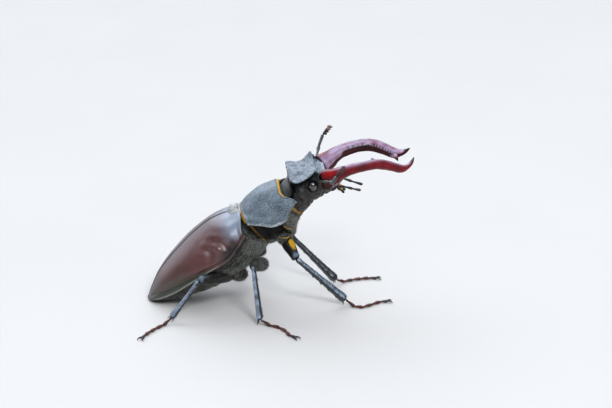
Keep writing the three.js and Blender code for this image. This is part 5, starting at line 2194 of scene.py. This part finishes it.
    def brushes(self, gold: Material) -> None:
        """The golden brush of the mouth, and the golden patch on each front thigh.

        Args:
            gold: their finish
        """
        tongue = orb(self.tongue, self.tongue_size, None, 20, 40)
        weight = ramp(tongue[..., 0], 11.8, 12.6) * fade(tongue[..., 2], -2.0, -1.5)
        brush = Skin(HEAD, tongue).hairs(weight, (0.75, 0, -0.8), Hair(700, 1.0, 0.12, 89, 0.035, 0.2))
        build("mouth_brush", [brush], gold, "mouth")
        patches = []
        for n, leg in enumerate(self.legs):
            if leg.sizes is not FRONT:
                continue
            grid, lie = leg.thigh(), (0.4, 0.5 * leg.side, -0.6)
            along = np.linspace(0, 1, len(grid))[:, None]
            facing = grid_normals(grid) @ unit(np.array([0.3, 0.6 * leg.side, 0.72]))
            weight = ramp(facing + 0.12 * bell(along, 0.4, 0.12), 0.98, 1.06)
            weight = weight * ramp(along, 0.12, 0.2) * fade(along, 0.6, 0.68)
            hip = leg.hip_joint()
            rim = bell(hip[..., 2], leg.hip[2] + 0.75, 0.08) * ramp(hip[..., 1] * leg.side, 4.6, 5.4)
            patches += [
                Skin(FLOOR, grid).hairs(weight, lie, Hair(2600, 0.5, 0.25, 90 + n, 0.035, 0.15)),
                Skin(FLOOR, hip).hairs(rim, lie, Hair(200, 0.3, 0.2, 96 + n, 0.035, 0.15))]
        build("front_thigh_patches", patches, gold, "leg")

    def shins(self, brown: Material) -> None:
        """Stiff little spines in the furrows of the shins and under the feet.

        Args:
            brown: their finish
        """
        patches = []
        for n, leg in enumerate(self.legs):
            shin = leg.shin()[0]
            way = np.array(leg.ankle, float) - np.array(leg.knee, float)
            along = np.linspace(0, 1, len(shin))[:, None]
            weight = ramp(along, 0.1, 0.3) * fade(along, 0.94, 0.99)
            patches.append(Skin(FLOOR, shin).hairs(weight, way, Hair(260, 0.55, 0.3, 100 + n, 0.03, 0.15)))
            for k, toe in enumerate(leg.toes()[0:13:3]):
                weight = ramp(-grid_normals(toe)[..., 2], -0.2, 0.6)
                patches.append(Skin(FLOOR, toe).hairs(
                    weight, way * [1, 1, 0], Hair(46, 0.35, 0.2, 120 + 10 * n + k, 0.024, 0.3)))
        build("leg_spines", patches, brown, "leg")

    def make(self) -> None:
        """Builds all the hair."""
        gold = GOLD.material()
        self.fringes(gold)
        self.tuft(PALE.material())
        self.pile(OLIVE.material())
        self.brushes(gold)
        self.shins(SPINE.material())


# ---- studio


@dataclass
class Studio:
    """A plain pale floor, a soft window, a pale sky and the camera.

    The camera's place and aim are in millimetres from the solids' origin, the window's and the
    floor in metres. bands are pairs of a height, from the skyline to straight up, and a
    strength. Each of glows is a direction, the cosines of the angles from it at which the glow
    starts and is full, and its strength.
    """

    floor_radius: float = 2.5
    floor_sides: int = 96
    floor_drop: float = 0.00003
    camera_at: Floats = (5.275, -378.693, 161.428)
    camera_aim: Floats = (38.428, 0.247, 22.978)
    lens: float = 100.0
    sensor: float = 36.0
    sees: Pair = (0.01, 20.0)
    window_at: Floats = (0.3, -0.85, 0.9)
    window_aim: Floats = (0, 0, 0.02)
    window_size: float = 0.3
    window_watts: float = 7.0
    window_colour: str = "f2f6ff"
    sky: str = "e2ebfa"
    bands: Sequence[Pair] = (
        (0, 0.1), (0.28, 0.18), (0.5, 0.5), (0.68, 0.75), (0.85, 0.75), (1, 0.65))
    glows: Sequence[tuple[Floats, float, float, float]] = (
        ((-0.583, 0.694, 0.423), 0.72, 0.97, 1.7), ((-0.027, 0.766, 0.643), 0.8, 0.97, 3.0),
        ((0.137, -0.512, 0.848), 0.85, 0.97, 1.4))

    def floor(self) -> None:
        """A disc under the feet: corners at cosine and sine of even turns."""
        turn = ring_turns(self.floor_sides)[0]
        points = np.stack([np.cos(turn), np.sin(turn), 0 * turn], -1) * self.floor_radius
        points[:, 2] = -self.floor_drop
        corners = list(range(self.floor_sides))
        mesh = bpy.data.meshes.new("floor")
        mesh.from_pydata(points.tolist(), [], [corners])
        graph = Graph("pale_floor")
        colour = graph.mix(graph.noise(60.0, 2), tone("d6d1c8"), tone("d1ccc4"))
        rough = graph.clouds(20.0, 0.75, 0.85)
        mesh.materials.append(graph.dress({"Base Color": colour, "Roughness": rough,
                                           "Specular IOR Level": 0.2}))
        disc = bpy.data.objects.new("floor", mesh)
        bpy.context.scene.collection.objects.link(disc)

    def hang(self, name: str, data: bpy.types.Camera | bpy.types.Light, at: Vector,
             aim: Vector) -> bpy.types.Object:
        """Puts a camera or a lamp in the scene, level and turned toward a point.

        Args:
            name: the object's name.
            data: the camera or the lamp.
            at: where it hangs, metres.
            aim: what it looks at, metres.

        Returns:
            The new object.
        """
        thing = bpy.data.objects.new(name, data)
        thing.location = at
        thing.rotation_euler = (aim - at).to_track_quat("-Z", "Y").to_euler()
        bpy.context.scene.collection.objects.link(thing)
        return thing

    def camera(self) -> None:
        """The camera, aimed at the middle of the beetle."""
        data = bpy.data.cameras.new("camera")
        data.lens, data.sensor_width = self.lens, self.sensor
        data.clip_start, data.clip_end = self.sees
        at, aim = (Vector((p + ANCHOR) * MM) for p in (self.camera_at, self.camera_aim))
        bpy.context.scene.camera = self.hang("camera", data, at, aim)

    def window(self) -> None:
        """A square soft lamp aimed at the beetle, like a window behind the viewer."""
        data = bpy.data.lights.new("window", "AREA")
        data.size, data.energy = self.window_size, self.window_watts
        data.color = tone(self.window_colour)[:3]
        lamp = self.hang("window", data, Vector(self.window_at), Vector(self.window_aim))
        lamp.visible_camera = False

    def sky_light(self) -> None:
        """A pale world: bands that change with the height, and the sum of the soft glows."""
        world = bpy.data.worlds.new("pale_world")
        bpy.context.scene.world = world
        nodes = Nodes(world)
        way = nodes.add("ShaderNodeTexCoord").outputs["Generated"]
        parts = nodes.add("ShaderNodeSeparateXYZ")
        nodes.feed(parts, {0: way})
        sky = nodes.add("ShaderNodeValToRGB")
        nodes.feed(sky, {0: parts.outputs["Z"]})
        sky.color_ramp.interpolation = "B_SPLINE"
        stops = sky.color_ramp.elements
        for n, (height, strength) in enumerate(self.bands):
            stop = stops[n] if n < len(stops) else stops.new(height)
            stop.position = height
            stop.color = (strength, strength, strength, 1.0)
        total = sky.outputs[0]
        for axis, start, full, strength in self.glows:
            dot = nodes.add("ShaderNodeVectorMath", operation="DOT_PRODUCT")
            nodes.feed(dot, {0: way, 1: axis})
            glow = nodes.between(dot.outputs["Value"], start, full, 0.0, strength, "SMOOTHERSTEP")
            total = nodes.sum("ADD", total, glow)
        background = nodes.add("ShaderNodeBackground")
        nodes.feed(background, {"Color": tone(self.sky), "Strength": total})
        nodes.feed(nodes.add("ShaderNodeOutputWorld"), {"Surface": background.outputs[0]})

    def make(self) -> None:
        """Sets the stage and the colour transform."""
        self.floor()
        self.camera()
        self.sky_light()
        self.window()
        bpy.context.scene.view_settings.view_transform = "Standard"


# ---- the whole beetle


def limbs() -> list[Leg]:
    """The six legs in their standing pose.

    Returns:
        The legs, front to hind
    """
    return [
        Leg("front_right", FRONT, (32.8, -3.4, 16.4), (35.4, -9.0, 12.7), (47.2, -7.4, 1.15),
            ((49.1, -9.6), (51.0, -10.2), (53.2, -8.9), (55.4, -7.4)), (57.3, -7.2)),
        Leg("front_left", FRONT, (32.6, 3.4, 16.4), (35.2, 8.8, 12.0), (46.3, 5.0, 1.15),
            ((48.3, 5.9), (50.4, 6.9), (52.6, 7.4), (54.6, 7.6)), (56.5, 7.4)),
        Leg("middle_right", MIDDLE, (27.3, -4.6, 9.9), (25.0, -13.0, 13.0), (26.2, -17.4, 1.1),
            ((28.4, -18.9), (30.4, -20.2), (31.8, -22.4), (32.4, -24.6)), (33.6, -26.0)),
        Leg("middle_left", MIDDLE, (27.3, 4.6, 9.9), (23.4, 12.4, 12.8), (21.0, 15.0, 1.1),
            ((20.6, 17.4), (20.6, 19.6), (21.2, 21.8), (21.9, 23.7)), (22.3, 25.4)),
        Leg("hind_right", HIND, (22.0, -4.6, 7.6), (12.4, -11.2, 8.9), (5.6, -14.7, 1.1),
            ((3.9, -16.4), (2.3, -18.0), (0.9, -19.8), (-0.3, -21.5)), (-1.1, -23.2)),
        Leg("hind_left", HIND, (22.0, 4.6, 7.6), (12.8, 11.4, 8.6), (7.6, 13.9, 1.1),
            ((6.9, 16.0), (6.4, 18.0), (6.3, 20.2), (6.6, 22.1)), (6.9, 23.8)),
    ]


def main() -> None:
    """Builds the beetle's sections in order, then the stage."""
    logging.basicConfig(level=logging.INFO, format="%(message)s")
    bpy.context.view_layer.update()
    cases, collar, eyes = WingCases(), Collar(), Eyes()
    belly, breast = Belly(cases), CollarUnderside(collar)
    legs = limbs()
    for section in (cases, Scutellum(), collar, belly, breast, HeadCapsule(eyes), eyes, Jaws(), Mouth()):
        section.make()
    horn, felt = FEELER.material(), CLUB.material()
    Feeler(Side.LEFT, (8.6, 6.6, 3.0), (11.0, 11.8, 4.9), (12.9, 12.9, 7.1),
           (15.1, 13.9, 8.4)).make(horn, felt)
    # The right feeler's club is darkened with painted shade.
    Feeler(Side.RIGHT, (8.6, -6.6, 3.0), (11.6, -11.3, 3.3), (12.9, -11.9, 4.6),
           (15.0, -12.7, 6.2), 0.5).make(horn, CLUB_PAINTED_SHADE.material())
    leg_horns = {"hip": BELLY.material(), "thigh": THIGH.material(),
                 "shin": SHIN.material(), "foot": FOOT.material()}
    for leg in legs:
        leg.make(leg_horns)
    Coat(collar, breast, belly, legs).make()
    Studio().make()


if __name__ == "__main__":
    main()
